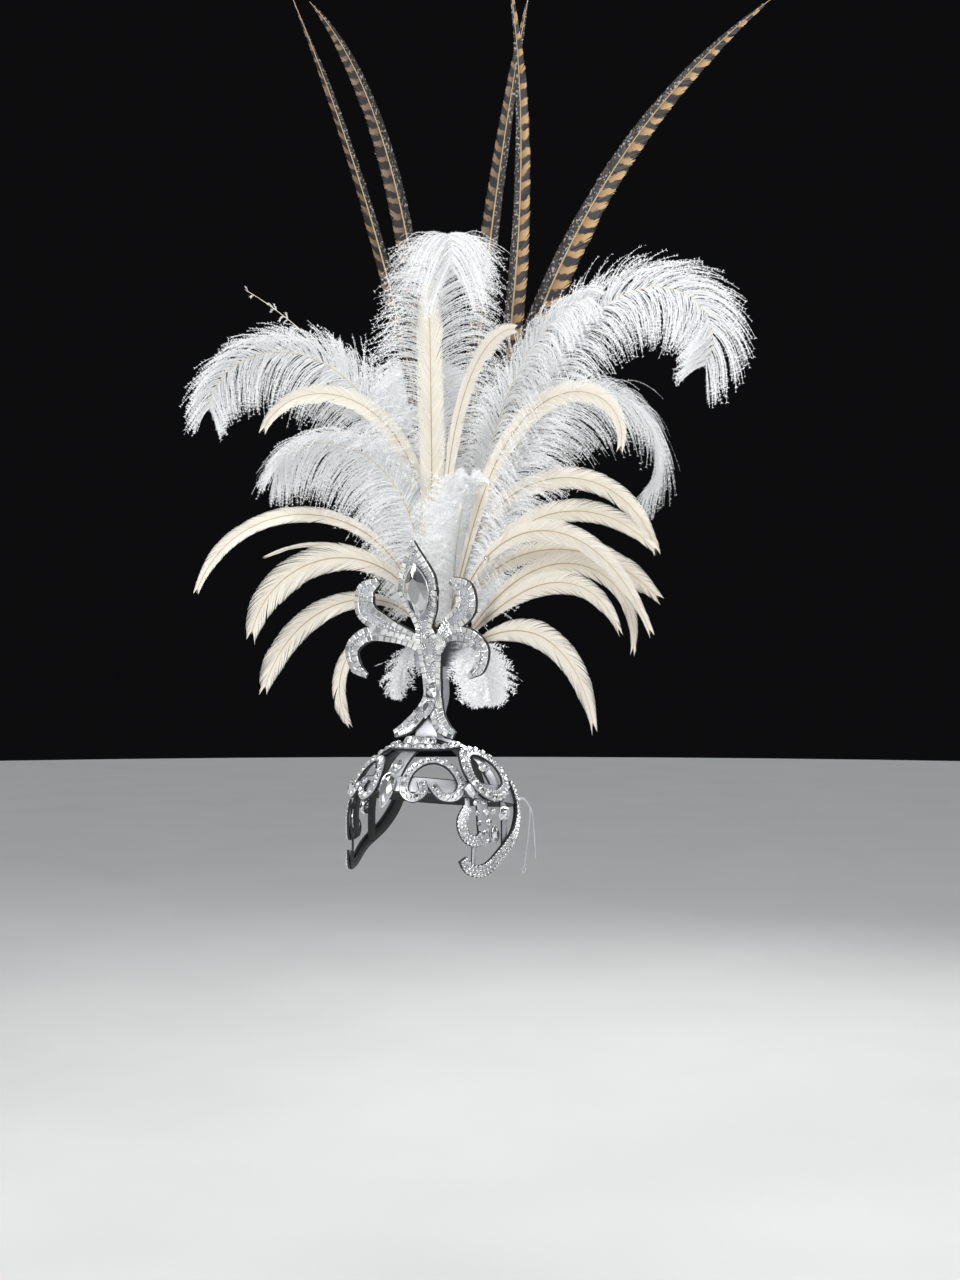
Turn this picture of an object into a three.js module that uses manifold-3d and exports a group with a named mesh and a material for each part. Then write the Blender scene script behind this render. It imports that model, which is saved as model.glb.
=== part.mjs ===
// Showgirl feather headdress: an openwork cap of silver bands with rhinestone scrolls, a fleur-de-lis plaque
// that stands on the crown, and a fan of pheasant, ostrich, coque and marabou feathers behind it.
// Millimetres, +Z up, the wearer faces -Y and +X is the wearer's left.
// The origin is the middle of the head hollow, level with the brow.
import * as THREE from "three";
import { mergeVertices } from "three/addons/utils/BufferGeometryUtils.js";
import Module from "manifold-3d";

const wasm = await Module();
wasm.setup();

// Driving dimensions of the cap
const HEAD = { x: 76, y: 95, z: 78 };
const BAND_THICK = 2;
const INSET = 0.3;
const SCROLL_FROM = BAND_THICK + 0.8;
const SCROLL_TO = SCROLL_FROM + 2.2;
const STONE_ROW = 2.2;
const STONE_TOP = SCROLL_TO + STONE_ROW;
const ROW_SHARE = 0.65;
const BROW = { up: 20, tilt: 10, halfWidth: 9 };
const STRAP_HALF_WIDTH = 9;

// Driving dimensions of the plaque and of the post behind it
const PLAQUE_FOOT = 80.6;
const PLAQUE_THICK = 3;
const PLAQUE_STONES = 2;
const POST = { depth: 14, foot: 80.6, neck: 150, head: 189 };
const POST_HEAD = { front: 4, back: 46, half: 27 };
const POST_NECK = { gap: 0.8, halves: [14, 11, 9.5, 9.5, 9.5, 11], lap: 2 };

// Driving dimensions of the feathers
const BLADE_THICK = 1.6;
const SHAFT_HALF = 1.8;
const LOCK_THICK = 1.8;
const LOCK_WEB = 0.6;
const LOCK_TIP = 0.6;
const BARB = { leanAtRoot: 25, leanGain: 25, shortenAtTip: 0.5, curl: 0.15 };
const CLEARANCE = 0.5;
const ROOT_GAP = 1.4;

const CORD_DIAMETER = 2.2;
const CORD_SIDES = 8;

const rad = THREE.MathUtils.degToRad;
const { lerp, smoothstep } = THREE.MathUtils;
const vec = (x, y, z) => new THREE.Vector3(x, y, z);
const table = (columns, rows) =>
  rows.map((row) => Object.fromEntries(columns.map((column, i) => [column, row[i]])));

const finish = (name, color, metalness, roughness) =>
  new THREE.MeshStandardMaterial({ name, color, metalness, roughness });

const FINISH = {
  silver: finish("silver", 0xc9cbd0, 1, 0.3),
  crystal: finish("crystal", 0xe8edf2, 0.6, 0.05),
  ostrich: finish("ostrich", 0xf2f2f0, 0, 0.9),
  marabou: finish("marabou", 0xfafafa, 0, 0.95),
  coque: finish("coque", 0xe8e0cd, 0, 0.7),
  pheasant: finish("pheasant", 0xc8a064, 0, 0.7),
  cord: finish("cord", 0xb9bcc2, 0.7, 0.4),
};

const headdress = new THREE.Group();

function place(name, geometry, finish) {
  const mesh = new THREE.Mesh(geometry, finish);
  mesh.name = name;
  headdress.add(mesh);
  return mesh;
}

// Solids: a loft through rings of equal length, with flat ends, turned so that its faces point out
function loft(rings, closed = false) {
  const count = rings[0].length;
  const corners = rings.flat().flatMap((point) => point.toArray());
  const faces = [];
  const spans = closed ? rings.length : rings.length - 1;
  for (let i = 0; i < spans; i++) {
    const here = i * count;
    const next = ((i + 1) % rings.length) * count;
    for (let j = 0; j < count; j++) {
      const k = (j + 1) % count;
      faces.push(here + j, here + k, next + k, here + j, next + k, next + j);
    }
  }
  if (!closed) {
    const last = (rings.length - 1) * count;
    for (let j = 1; j < count - 1; j++) {
      faces.push(0, j + 1, j, last, last + j, last + j + 1);
    }
  }
  return shell(corners, faces);
}

function shell(corners, faces) {
  const geometry = new THREE.BufferGeometry();
  geometry.setAttribute("position", new THREE.Float32BufferAttribute(corners, 3));
  geometry.setIndex(signedVolume(corners, faces) < 0 ? faces.reverse() : faces);
  return geometry;
}

function signedVolume(corners, faces) {
  const corner = (index) => vec(...corners.slice(3 * index, 3 * index + 3));
  let volume = 0;
  for (let i = 0; i < faces.length; i += 3) {
    volume += corner(faces[i]).dot(corner(faces[i + 1]).cross(corner(faces[i + 2])));
  }
  return volume;
}

function solid(geometry) {
  const bare = geometry.clone();
  bare.deleteAttribute("normal");
  bare.deleteAttribute("uv");
  const merged = mergeVertices(bare, 1e-4);
  const vertProperties = new Float32Array(merged.attributes.position.array);
  const triVerts = new Uint32Array(merged.index.array);
  return new wasm.Manifold(new wasm.Mesh({ numProp: 3, vertProperties, triVerts }));
}

function surfaceOf(body) {
  const mesh = body.getMesh();
  const geometry = new THREE.BufferGeometry();
  geometry.setAttribute("position", new THREE.Float32BufferAttribute(mesh.vertProperties, 3));
  geometry.setIndex([...mesh.triVerts]);
  return geometry;
}

const fuse = (geometries) => geometries.map(solid).reduce((body, next) => body.add(next));

// The dome: around in degrees from the front towards the wearer's left, up in degrees above the brow
function domePoint(around, up) {
  const turn = rad(around);
  const flat = Math.cos(rad(Math.max(up, 0)));
  const height = up > 0 ? Math.sin(rad(up)) : rad(up);
  return vec(HEAD.x * flat * Math.sin(turn), -HEAD.y * flat * Math.cos(turn), HEAD.z * height);
}

function domeNormal(around, up) {
  const point = domePoint(around, up);
  const rise = up > 0 ? point.z / HEAD.z ** 2 : 0;
  return vec(point.x / HEAD.x ** 2, point.y / HEAD.y ** 2, rise).normalize();
}

// The spot on the dome nearest to a point beside it, and the way out from there
function domeNear(point) {
  const above = Math.max(point.z, 0);
  const size = Math.hypot(point.x / HEAD.x, point.y / HEAD.y, above / HEAD.z);
  const spot = vec(point.x / size, point.y / size, point.z > 0 ? point.z / size : point.z);
  const normal = vec(spot.x / HEAD.x ** 2, spot.y / HEAD.y ** 2, Math.max(spot.z, 0) / HEAD.z ** 2);
  return { spot, normal: normal.normalize() };
}

const DOME = { point: domePoint, normal: domeNormal, near: domeNear };

// The plaque: across from its middle, high above its foot; the waist stands back and the head leans forward
const STEM_LEAN = [
  { high: 0, y: -17 }, { high: 45, y: 1 }, { high: 85, y: -4 },
  { high: 120, y: -18 }, { high: 150, y: -28 }, { high: 195, y: -38 }, { high: 240, y: -42 },
];
const HEAD_LEAN = { low: { high: 60, y: -31 }, top: { high: 195, y: -38 } };

function stemLean(high) {
  const next = STEM_LEAN.findIndex((row) => row.high >= high);
  const [a, b] = [STEM_LEAN[Math.max(next - 1, 0)], STEM_LEAN[Math.max(next, 1)]];
  return lerp(a.y, b.y, smoothstep(high, a.high, b.high));
}

function plaquePoint(across, high) {
  const { low, top } = HEAD_LEAN;
  const headLean = lerp(low.y, top.y, (high - low.high) / (top.high - low.high));
  const share = smoothstep(Math.abs(across), 12, 48) * smoothstep(high, 40, 62);
  return vec(across, lerp(stemLean(high), headLean, share), PLAQUE_FOOT + high);
}

function plaqueNormal(across, high) {
  const step = 1;
  const right = plaquePoint(across + step, high).sub(plaquePoint(across - step, high));
  const rise = plaquePoint(across, high + step).sub(plaquePoint(across, high - step));
  return right.cross(rise).normalize();
}

function plaqueNear(point) {
  const high = point.z - PLAQUE_FOOT;
  return { spot: plaquePoint(point.x, high), normal: plaqueNormal(point.x, high) };
}

const PLAQUE = { point: plaquePoint, normal: plaqueNormal, near: plaqueNear };

// A strip that follows a path on the dome or on the plaque; row is the height of the stones on its middle
function ribbon(surface, path, { half, from, to, steps, row = 0, closed = false }) {
  const curve = new THREE.CatmullRomCurve3(path.map(([a, b]) => vec(a, b, 0)), closed);
  const halfAt = typeof half === "number" ? () => half : half;
  const count = closed ? steps : steps + 1;
  const rings = [];
  for (let i = 0; i < count; i++) {
    const t = i / steps;
    const here = curve.getPoint(t);
    const way = curve.getTangent(t).multiplyScalar(0.5);
    const normal = surface.normal(here.x, here.y);
    const ahead = surface.point(here.x + way.x, here.y + way.y);
    const behind = surface.point(here.x - way.x, here.y - way.y);
    const side = normal.clone().cross(ahead.sub(behind)).normalize().multiplyScalar(halfAt(t));
    const corner = (share, lift) => {
      const edge = surface.near(surface.point(here.x, here.y).addScaledVector(side, share));
      return edge.spot.addScaledVector(edge.normal, lift);
    };
    const stones = row > 0 ? [corner(ROW_SHARE, to + row), corner(-ROW_SHARE, to + row)] : [];
    rings.push([corner(1, from), corner(1, to), ...stones, corner(-1, to), corner(-1, from)]);
  }
  return loft(rings, closed);
}

const fade = (widths) => (t) => {
  const spot = Math.min(t, 0.9999) * (widths.length - 1);
  const index = Math.floor(spot);
  return lerp(widths[index], widths[index + 1], spot - index);
};

// Cap cage: the brow band, two crown straps and the drop bands in front of the ears, in one openwork piece
const EAR_PATH = [[117, 26], [118, 10], [107, -8], [87, -22], [70, -33], [59, -31], [55, -24]];
const TEMPLE_PATH = [[59, 12], [54, 3], [57, -8], [64, -12], [69, -8]];
const CAGE_DROPS = [
  { path: EAR_PATH, half: 4.5, steps: 8 },
  { path: [[60, 20], ...TEMPLE_PATH], half: 3, steps: 7 },
  { path: [[72, 20], [71, 2], [73, -15]], half: 8, steps: 4 },
  { path: [[93, 16], [93, -20]], half: 6, steps: 3 },
  { path: [[64, -10], [63, -33]], half: 2.2, steps: 2 },
];
const otherSide = (path) => path.map(([around, up]) => [-around, up]);

function capCage() {
  const band = { from: 0, to: BAND_THICK };
  const drop = { from: INSET, to: BAND_THICK - INSET };
  const brow = browRing({ half: BROW.halfWidth, ...band });
  const half = STRAP_HALF_WIDTH;
  const frontToBack = ribbon(DOME, [[0, 28], [0, 90], [0, 172]], { half, steps: 12, ...band });
  const sideToSide = ribbon(DOME, [[90, 20], [90, 90], [90, 160]], { half, steps: 11, ...drop });
  const drops = CAGE_DROPS.flatMap(({ path, ...sizes }) => [
    ribbon(DOME, path, { ...sizes, ...drop }),
    ribbon(DOME, otherSide(path), { ...sizes, ...drop }),
  ]);
  place("cap_cage", surfaceOf(fuse([brow, frontToBack, sideToSide, ...drops])), FINISH.silver);
}

// The brow band goes right round, higher at the front than at the back
function browRing({ half, from, to }) {
  const steps = 30;
  const rings = [];
  for (let i = 0; i < steps; i++) {
    const around = (360 * i) / steps;
    const up = BROW.up + BROW.tilt * Math.cos(rad(around));
    const normal = domeNormal(around, up);
    const ahead = domePoint(around + 1, up).sub(domePoint(around - 1, up)).normalize();
    const side = normal.clone().cross(ahead).multiplyScalar(half);
    const corner = (sign, lift) => {
      const edge = domeNear(domePoint(around, up).addScaledVector(side, sign));
      return edge.spot.addScaledVector(edge.normal, lift);
    };
    rings.push([corner(1, from), corner(1, to), corner(-1, to), corner(-1, from)]);
  }
  return loft(rings, true);
}

// Scrolls: a silver base with a raised row of stones, left and right
const SCROLLS = [
  {
    name: "front_scroll", half: 4.4, steps: 24, closed: false,
    path: [
      [26, 31], [28, 24], [21, 19], [14, 24], [15, 37], [24, 46],
      [38, 48], [50, 42], [56, 28], [51, 20], [41, 20], [34, 28],
    ],
  },
  {
    name: "loop_scroll", half: 6, steps: 18, closed: true,
    path: [[71, 53], [90, 55], [105, 42], [101, 25], [83, 18], [69, 26], [65, 40]],
  },
  { name: "temple_scroll", half: 5.5, steps: 9, closed: false, path: TEMPLE_PATH },
  {
    name: "ear_scroll", half: fade([4.5, 7, 7, 6.5, 6.5, 5.5, 4.5]), steps: 15, closed: false,
    path: EAR_PATH,
  },
];
const CROWN_ROW = { path: [[-78, 64], [-40, 62], [0, 62], [40, 62], [78, 64]], half: 4, steps: 12 };

function scrolls() {
  const layers = { from: SCROLL_FROM, to: SCROLL_TO, row: STONE_ROW };
  for (const { name, path, ...sizes } of SCROLLS) {
    place(`${name}_left`, ribbon(DOME, path, { ...sizes, ...layers }), FINISH.crystal);
    place(`${name}_right`, ribbon(DOME, otherSide(path), { ...sizes, ...layers }), FINISH.crystal);
  }
  place("crown_row", ribbon(DOME, CROWN_ROW.path, { ...CROWN_ROW, ...layers }), FINISH.crystal);
}

// Cut stones: a girdle of the named outline, a table above it and a smaller back below it
const STONE_SIDES = 8;
const OUTLINES = {
  round: (turn) => [Math.cos(turn), Math.sin(turn)],
  navette: (turn) => [Math.sign(Math.cos(turn)) * Math.cos(turn) ** 2, Math.sin(turn)],
  pear: (turn) => [Math.cos(turn) * (0.72 + 0.28 * Math.sin(turn)), Math.sin(turn)],
  square: (turn) => {
    const reach = 1 / Math.max(Math.abs(Math.cos(turn)), Math.abs(Math.sin(turn)));
    return [Math.cos(turn) * reach, Math.sin(turn) * reach];
  },
};

function cutStone(outline, { wide, tall, deep }) {
  const ring = (scale, lift) => {
    const points = [];
    for (let i = 0; i < STONE_SIDES; i++) {
      const [x, y] = OUTLINES[outline]((2 * Math.PI * i) / STONE_SIDES);
      points.push(vec((x * scale * wide) / 2, (y * scale * tall) / 2, lift * deep));
    }
    return points;
  };
  return loft([ring(0.8, 0), ring(1, 0.35), ring(0.6, 1)]);
}

// A stone faces along the surface's normal, with its tall side turned from the upright by lean
function stoneSeat(surface, [a, b], lift, lean) {
  const normal = surface.normal(a, b);
  const upright = vec(0, 0, 1).applyAxisAngle(normal, rad(lean));
  const right = upright.cross(normal).normalize();
  const rise = normal.clone().cross(right);
  const seat = surface.point(a, b).addScaledVector(normal, lift);
  return new THREE.Matrix4().makeBasis(right, rise, normal).setPosition(seat);
}

function setStone(name, seat, geometry) {
  place(name, geometry, FINISH.crystal).applyMatrix4(seat);
}

const STONE = ["name", "at", "lift", "lean", "outline", "wide", "tall", "deep"];
const CAP_STONES = table(STONE, [
  ["baguette_stone", [60.5, 22], STONE_TOP + 0.6, 35, "square", 8, 13, 4],
  ["oval_stone", [84, 40], SCROLL_FROM, 80, "round", 10, 14, 6],
  ["round_stone", [89, 6], SCROLL_FROM, 0, "round", 15, 15, 7],
  ["kite_stone", [80, -8], SCROLL_FROM, 10, "navette", 10, 18, 5],
]);

function capStones() {
  const drop = cutStone("pear", { wide: 20, tall: 36, deep: 8 });
  setStone("brow_drop", stoneSeat(DOME, [0, 24], SCROLL_FROM, 0), drop);
  for (const { name, at, lift, lean, outline, ...size } of CAP_STONES) {
    const [around, up] = at;
    setStone(`${name}_left`, stoneSeat(DOME, at, lift, lean), cutStone(outline, size));
    setStone(`${name}_right`, stoneSeat(DOME, [-around, up], lift, -lean), cutStone(outline, size));
  }
}

// Fleur-de-lis plaque: a middle petal on its stem, two upper and two lower scrolls and two feet
const PETAL_HALVES = [12, 10.5, 11, 13, 15, 10, 18, 24, 21, 12, 1.5];
const FLEUR_BANDS = table(["mirrored", "steps", "half", "path"], [
  [false, 16, fade(PETAL_HALVES), [[0, 28], [0, 195]]],
  [true, 5, fade([7, 8, 8, 4]), [[4, 38], [9, 24], [19, 11], [34, 3]]],
  [true, 10, fade([5, 9, 12, 11, 4]), [[12, 100], [38, 112], [57, 128], [56, 146], [42, 156]]],
  [true, 11, fade([6, 5, 8, 8, 7, 2]), [[8, 88], [30, 99], [55, 103], [74, 89], [70, 70], [58, 62]]],
]);
const FLEUR_STONES = table(STONE, [
  ["fleur_navette", [0, 147], 3, 0, "navette", 28, 52, 6],
  ["fleur_tip_stone", [0, 186], 1, 45, "square", 7.5, 7.5, 4],
  ["stem_frame_stone", [0, 45], 2.5, 0, "square", 12, 12, 5],
  ["stem_pear", [0, 25], 3, 0, "pear", 16, 20, 6],
]);

function fleurPlaque() {
  const board = { from: 0, to: PLAQUE_THICK };
  const pieces = [];
  for (const { path, half, steps, mirrored } of FLEUR_BANDS) {
    const sides = mirrored ? [path, otherSide(path)] : [path];
    for (const side of sides) {
      pieces.push(ribbon(PLAQUE, side, { half, steps, ...board, row: mirrored ? PLAQUE_STONES : 0 }));
    }
  }
  place("fleur_plaque", surfaceOf(fuse(pieces)), FINISH.silver);
  for (const { name, at, lift, outline, lean, ...size } of FLEUR_STONES) {
    setStone(name, stoneSeat(PLAQUE, at, PLAQUE_THICK + lift, lean), cutStone(outline, size));
  }
}

// Cluster of round bezel stones between the feet, fused where they meet
const CLUSTER = { spots: [[-25, 72], [0, 71], [25, 72]], size: { wide: 14, tall: 14, deep: 6 } };

function baseCluster() {
  const stones = CLUSTER.spots.map((spot) =>
    cutStone("round", CLUSTER.size).applyMatrix4(stoneSeat(DOME, spot, SCROLL_FROM, 0)));
  place("base_cluster", surfaceOf(fuse(stones)), FINISH.crystal);
}

// Plume post: the boxed stem behind the plaque, with a wider head that takes the quills
function plumePost() {
  const { gap, halves, lap } = POST_NECK;
  const tall = POST.neck + lap - POST.foot;
  const levels = halves.map((half, i) => {
    const high = (tall * i) / (halves.length - 1);
    const front = plaquePoint(0, high).y + gap;
    const corners = [[half, front], [half, front + POST.depth], [-half, front + POST.depth], [-half, front]];
    return corners.map(([x, y]) => vec(x, y, POST.foot + high));
  });
  const headDepth = POST_HEAD.back - POST_HEAD.front;
  const head = new THREE.BoxGeometry(2 * POST_HEAD.half, headDepth, POST.head - POST.neck + 1);
  head.translate(0, (POST_HEAD.front + POST_HEAD.back) / 2, (POST.head + POST.neck - 1) / 2);
  place("plume_post", surfaceOf(fuse([loft(levels), head])), FINISH.silver);
}

// Feathers: each shaft starts at its root, climbs at its rise and bends over by bend degrees along its length;
// a low ease bends it evenly and a high ease curls its end
const direction = (heading, rise) =>
  vec(Math.cos(rise) * Math.cos(heading), Math.cos(rise) * Math.sin(heading), Math.sin(rise));

function shaft(row, steps) {
  const heading = rad(row.azimuth);
  const side = vec(-Math.sin(heading), Math.cos(heading), 0);
  const riseAt = (t) => rad(row.rise - row.bend * t ** row.ease);
  const fine = 8;
  const spot = vec(row.x, row.y, row.z);
  const frames = [];
  for (let i = 0; i <= steps; i++) {
    const along = direction(heading, riseAt(i / steps));
    frames.push({ t: i / steps, point: spot.clone(), along, side, back: along.clone().cross(side) });
    for (let k = 0; k < fine; k++) {
      const middle = (i + (k + 0.5) / fine) / steps;
      spot.addScaledVector(direction(heading, riseAt(middle)), row.length / (steps * fine));
    }
  }
  return frames;
}

// A flat blade along a shaft, thickest at its rib; roll turns its broad face, split shares its width
function blade(row, { profile, split, steps }, grow = 0) {
  const rings = shaft(row, steps).map(({ t, point, along, side, back }) => {
    const wide = back.clone().applyAxisAngle(along, rad(row.roll));
    const flat = along.clone().cross(wide);
    const width = row.width * profile(t) + 2 * grow;
    const thick = (BLADE_THICK * (1 - 0.5 * t)) / 2 + grow;
    return [
      point.clone().addScaledVector(wide, width * split),
      point.clone().addScaledVector(flat, thick),
      point.clone().addScaledVector(wide, -width * (1 - split)),
      point.clone().addScaledVector(flat, -thick),
    ];
  });
  return loft(rings);
}

const PHEASANT_BLADE = { profile: fade([0.2, 0.9, 1, 0.95, 0.85, 0.7, 0.5, 0.08]), split: 0.4, steps: 11 };
const COQUE_BLADE = { profile: fade([0.16, 0.25, 0.7, 1, 1, 0.8, 0.06]), split: 0.5, steps: 9 };

const ROOT = POST.head + ROOT_GAP;
const SHAFT = ["name", "x", "y", "z", "azimuth", "rise", "bend", "ease", "length"];

const PHEASANTS = table([...SHAFT, "width", "roll"], [
  ["pheasant_1", -13, 38, ROOT, 186, 90, 24, 0.65, 690, 18, 60],
  ["pheasant_2", -8, 42, ROOT, 161, 84, 43, 2.4, 750, 27, 10],
  ["pheasant_3", 6, 44, ROOT, 95, 90, 23, 0.6, 720, 20, 110],
  ["pheasant_4", 12, 40, ROOT, 52, 79, -20, 2, 670, 22, -50],
  ["pheasant_5", 17, 31, ROOT, 10, 81, 48, 1.6, 700, 29, -10],
]);

const COQUES = table([...SHAFT, "width", "roll"], [
  ["coque_01", -26, 9, ROOT, 206, 90, 162, 1, 325, 15, 10],
  ["coque_02", -26, 14, ROOT, 190, 90, 113, 0.7, 215, 12, 60],
  ["coque_03", -18, 5, ROOT, 220, 90, 169, 0.85, 245, 26, 0],
  ["coque_04", -24, 6, ROOT, 206, 90, 165, 0.5, 210, 22, 10],
  ["coque_05", -29, 9, 170, 203, 90, 210, 0.55, 156, 14, 20],
  ["coque_06", -12, 11, ROOT, 206, 90, 160, 2.5, 365, 18, 0],
  ["coque_07", -5, 7, ROOT, 290, 87, 6, 4, 350, 25, -80],
  ["coque_08", 6, 6, ROOT, 323, 90, 101, 2, 375, 20, 10],
  ["coque_09", 10, 9, ROOT, 354, 73, 182, 3.3, 380, 20, 0],
  ["coque_10", 16, 13, ROOT, 356, 90, 163, 1.2, 350, 20, 10],
  ["coque_11", 19, 9, ROOT, 350, 72, 117, 1.1, 301, 20, 15],
  ["coque_12", 25, 10, ROOT, 355, 90, 134, 0.63, 272, 22, 0],
  ["coque_13", 22, 5, ROOT, 335, 81, 141, 0.73, 372, 20, 10],
  ["coque_14", 28, 6, 176, 338, 31, 94, 2.2, 259, 20, 10],
  ["coque_15", 28, 6, 168, 329, 16, 90, 1.8, 278, 25, 0],
  ["coque_16", 28, 12, 180, 351, 47, 150, 1.8, 279, 20, 20],
]);

// Plumes: a shaft with locks to both sides that droop; bare is the share of the shaft with no locks
const PLUMES = table([...SHAFT, "spread", "bare", "roll", "droop", "locks"], [
  ["marabou_upper", 11, 16, ROOT, 330, 86, 30, 2, 150, 60, 0.2, 0, 0.3, 7],
  ["marabou_left", -28, 18, 176, 190, -45, 40, 1, 56, 26, 0.1, 0, 0.2, 5],
  ["marabou_right", 28, 18, 176, 345, -45, 40, 1, 58, 34, 0.1, 0, 0.2, 5],
  ["ostrich_front", -8, 20, ROOT, 306, 90, 185, 5, 485, 108, 0.2, 0, 0.55, 15],
  ["ostrich_right", 19, 27, ROOT, 2, 72, 200, 4, 525, 105, 0.25, 60, 0.25, 15],
  ["ostrich_left", -18, 25, ROOT, 208, 82, 167, 2.8, 450, 80, 0.25, 60, 0.35, 15],
  ["ostrich_high", -16, 31, ROOT, 178, 92, 63, 0.77, 460, 60, 0.3, 60, 0.3, 15],
  ["ostrich_low", 19, 44, ROOT, 60, 79, 216, 2.6, 475, 85, 0.25, 40, 0.4, 13],
  ["ostrich_centre", 5, 22, ROOT, 0, 76, 60, 4, 370, 85, 0.2, 60, 0.5, 15],
  ["ostrich_side", -21, 16, ROOT, 228, 88, 148, 2.2, 295, 75, 0.2, 45, 0.5, 13],
  ["ostrich_back", -2, 45, ROOT, 135, 85, 180, 3, 450, 90, 0.25, 0, 0.5, 13],
]);

const bareSteps = (row) => Math.max(1, Math.round((row.locks * row.bare) / (1 - row.bare)));
const plumeSteps = (row) => row.locks + bareSteps(row);

// The bare quill below the locks; whole is the full shaft, which other feathers keep clear of
function quill(row, { whole = false, grow = 0 } = {}) {
  const frames = shaft(row, plumeSteps(row));
  const stretch = whole ? frames : frames.slice(0, bareSteps(row) + 2);
  return solid(loft(stretch.map(({ point, side, back }) => {
    const reach = SHAFT_HALF + grow;
    return [0, 120, 240].map((turn) =>
      point.clone()
        .addScaledVector(back, reach * Math.cos(rad(turn)))
        .addScaledVector(side, reach * Math.sin(rad(turn))));
  })));
}

// A plume's frame turned about its shaft, so that the vane shows its flat side
function rolled({ side, back, ...rest }, row) {
  const cos = Math.cos(rad(row.roll));
  const sin = Math.sin(rad(row.roll));
  return {
    ...rest,
    side: side.clone().multiplyScalar(cos).addScaledVector(back, sin),
    back: back.clone().multiplyScalar(cos).addScaledVector(side, -sin),
  };
}

// A point on the barb that leaves the shaft to one side, leans towards the tip and droops
function barb({ t, point, along, side, back }, row, { sign, share }, u, lift) {
  const lean = rad(BARB.leanAtRoot + BARB.leanGain * t);
  const reach = share * row.spread * (1 - BARB.shortenAtTip * t ** 6);
  const out = side.clone().multiplyScalar(sign * Math.cos(lean)).addScaledVector(along, Math.sin(lean));
  const spot = point.clone().addScaledVector(out, reach * u * (1 - BARB.curl * u)).addScaledVector(back, lift);
  spot.z -= row.droop * reach * u * u;
  return spot;
}

// The vane of a plume: a web on both sides of the shaft whose rim ends in one pointed lock for each span;
// shares gives, for each side, how far the lock of each span reaches
function vane(frames, row, shares, grow = 0) {
  const corners = [];
  const faces = [];
  const add = (point) => corners.push(...point.toArray()) / 3 - 1;
  const quad = (a, b, c, d) => faces.push(a, b, c, a, c, d);
  const half = SHAFT_HALF + grow;
  const rim = LOCK_THICK / 2 + grow;
  const spine = frames.map(({ point, back }) =>
    [half, -half].map((lift) => add(point.clone().addScaledVector(back, lift))));
  for (const { sign, reach } of shares) {
    const turn = (list) => (sign > 0 ? list : list.reverse());
    const web = frames.map((frame, i) => {
      const share = Math.min(reach[Math.max(i - 1, 0)], reach[Math.min(i, reach.length - 1)]);
      return [rim, -rim].map((lift) => add(barb(frame, row, { sign, share }, LOCK_WEB, lift)));
    });
    reach.forEach((share, i) => {
      const way = { sign, share };
      const tip = add(barb(frames[i], row, way, 1, 0).lerp(barb(frames[i + 1], row, way, 1, 0), LOCK_TIP));
      const [[topA, lowA], [topB, lowB]] = [web[i], web[i + 1]];
      quad(...turn([spine[i][0], spine[i + 1][0], topB, topA]));
      quad(...turn([spine[i][1], lowA, lowB, spine[i + 1][1]]));
      faces.push(...turn([topA, topB, tip]), ...turn([lowA, tip, lowB]));
      faces.push(...turn([topA, tip, lowA]), ...turn([lowB, tip, topB]));
    });
    const last = frames.length - 1;
    quad(...turn([spine[0][0], web[0][0], web[0][1], spine[0][1]]));
    quad(...turn([spine[last][1], web[last][1], web[last][0], spine[last][0]]));
  }
  return solid(shell(corners, faces));
}

function clearOf(body, others) {
  const box = body.boundingBox();
  const apart = ({ min, max }) => [0, 1, 2].some((i) => min[i] > box.max[i] || max[i] < box.min[i]);
  return others.every((other) => apart(other.box) || body.intersect(other.body).isEmpty());
}

const LOCK_SHARES = [1, 0.85, 0.7, 0.55, 0.4, 0.28, 0.18, 0.1, 0.04];

// Feathers are set one after another: a lock that would run into another feather is made shorter
function plume(row, settled) {
  const frames = shaft(row, plumeSteps(row)).slice(bareSteps(row)).map((frame) => rolled(frame, row));
  const spans = frames.slice(1).map((frame, i) => [frames[i], frame]);
  const least = LOCK_SHARES.at(-1);
  const bothSides = (sign, share) => [{ sign, reach: [share] }, { sign: -sign, reach: [least] }];
  const shares = [1, -1].map((sign) => ({
    sign,
    reach: spans.map((span) => {
      const fits = (share) => clearOf(vane(span, row, bothSides(sign, share)), settled);
      return LOCK_SHARES.find(fits) ?? least;
    }),
  }));
  settled.push(boxed(vane(frames, row, shares, CLEARANCE)));
  return quill(row).add(vane(frames, row, shares));
}

const boxed = (body) => ({ body, box: body.boundingBox() });

function feathers() {
  const blades = [
    ...PHEASANTS.map((row) => ({ row, shape: PHEASANT_BLADE, finish: FINISH.pheasant })),
    ...COQUES.map((row) => ({ row, shape: COQUE_BLADE, finish: FINISH.coque })),
  ];
  const settled = [];
  for (const { row, shape, finish } of blades) {
    place(row.name, blade(row, shape), finish);
    settled.push(boxed(solid(blade(row, shape, CLEARANCE))));
  }
  const shafts = PLUMES.map((row) => boxed(quill(row, { whole: true, grow: CLEARANCE })));
  PLUMES.forEach((row, i) => {
    const others = shafts.filter((_, k) => k !== i);
    const near = [...settled, ...others];
    const body = plume(row, near);
    settled.push(...near.slice(settled.length + others.length));
    place(row.name, surfaceOf(body), row.name.startsWith("marabou") ? FINISH.marabou : FINISH.ostrich);
  });
}

// Tie cords: two short cords that leave the back of the brow band and hang free
const CORDS = table(["name", "route"], [
  ["tie_cord_long", [[55, 70, 14], [60, 78, 16], [64, 83, 8], [63, 84, -14], [60, 84, -38], [57, 84, -58]]],
  ["tie_cord_short", [[47, 76, 13], [53, 86, 16], [60, 92, 7], [64, 93, -18], [66, 93, -46]]],
]);

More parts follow.
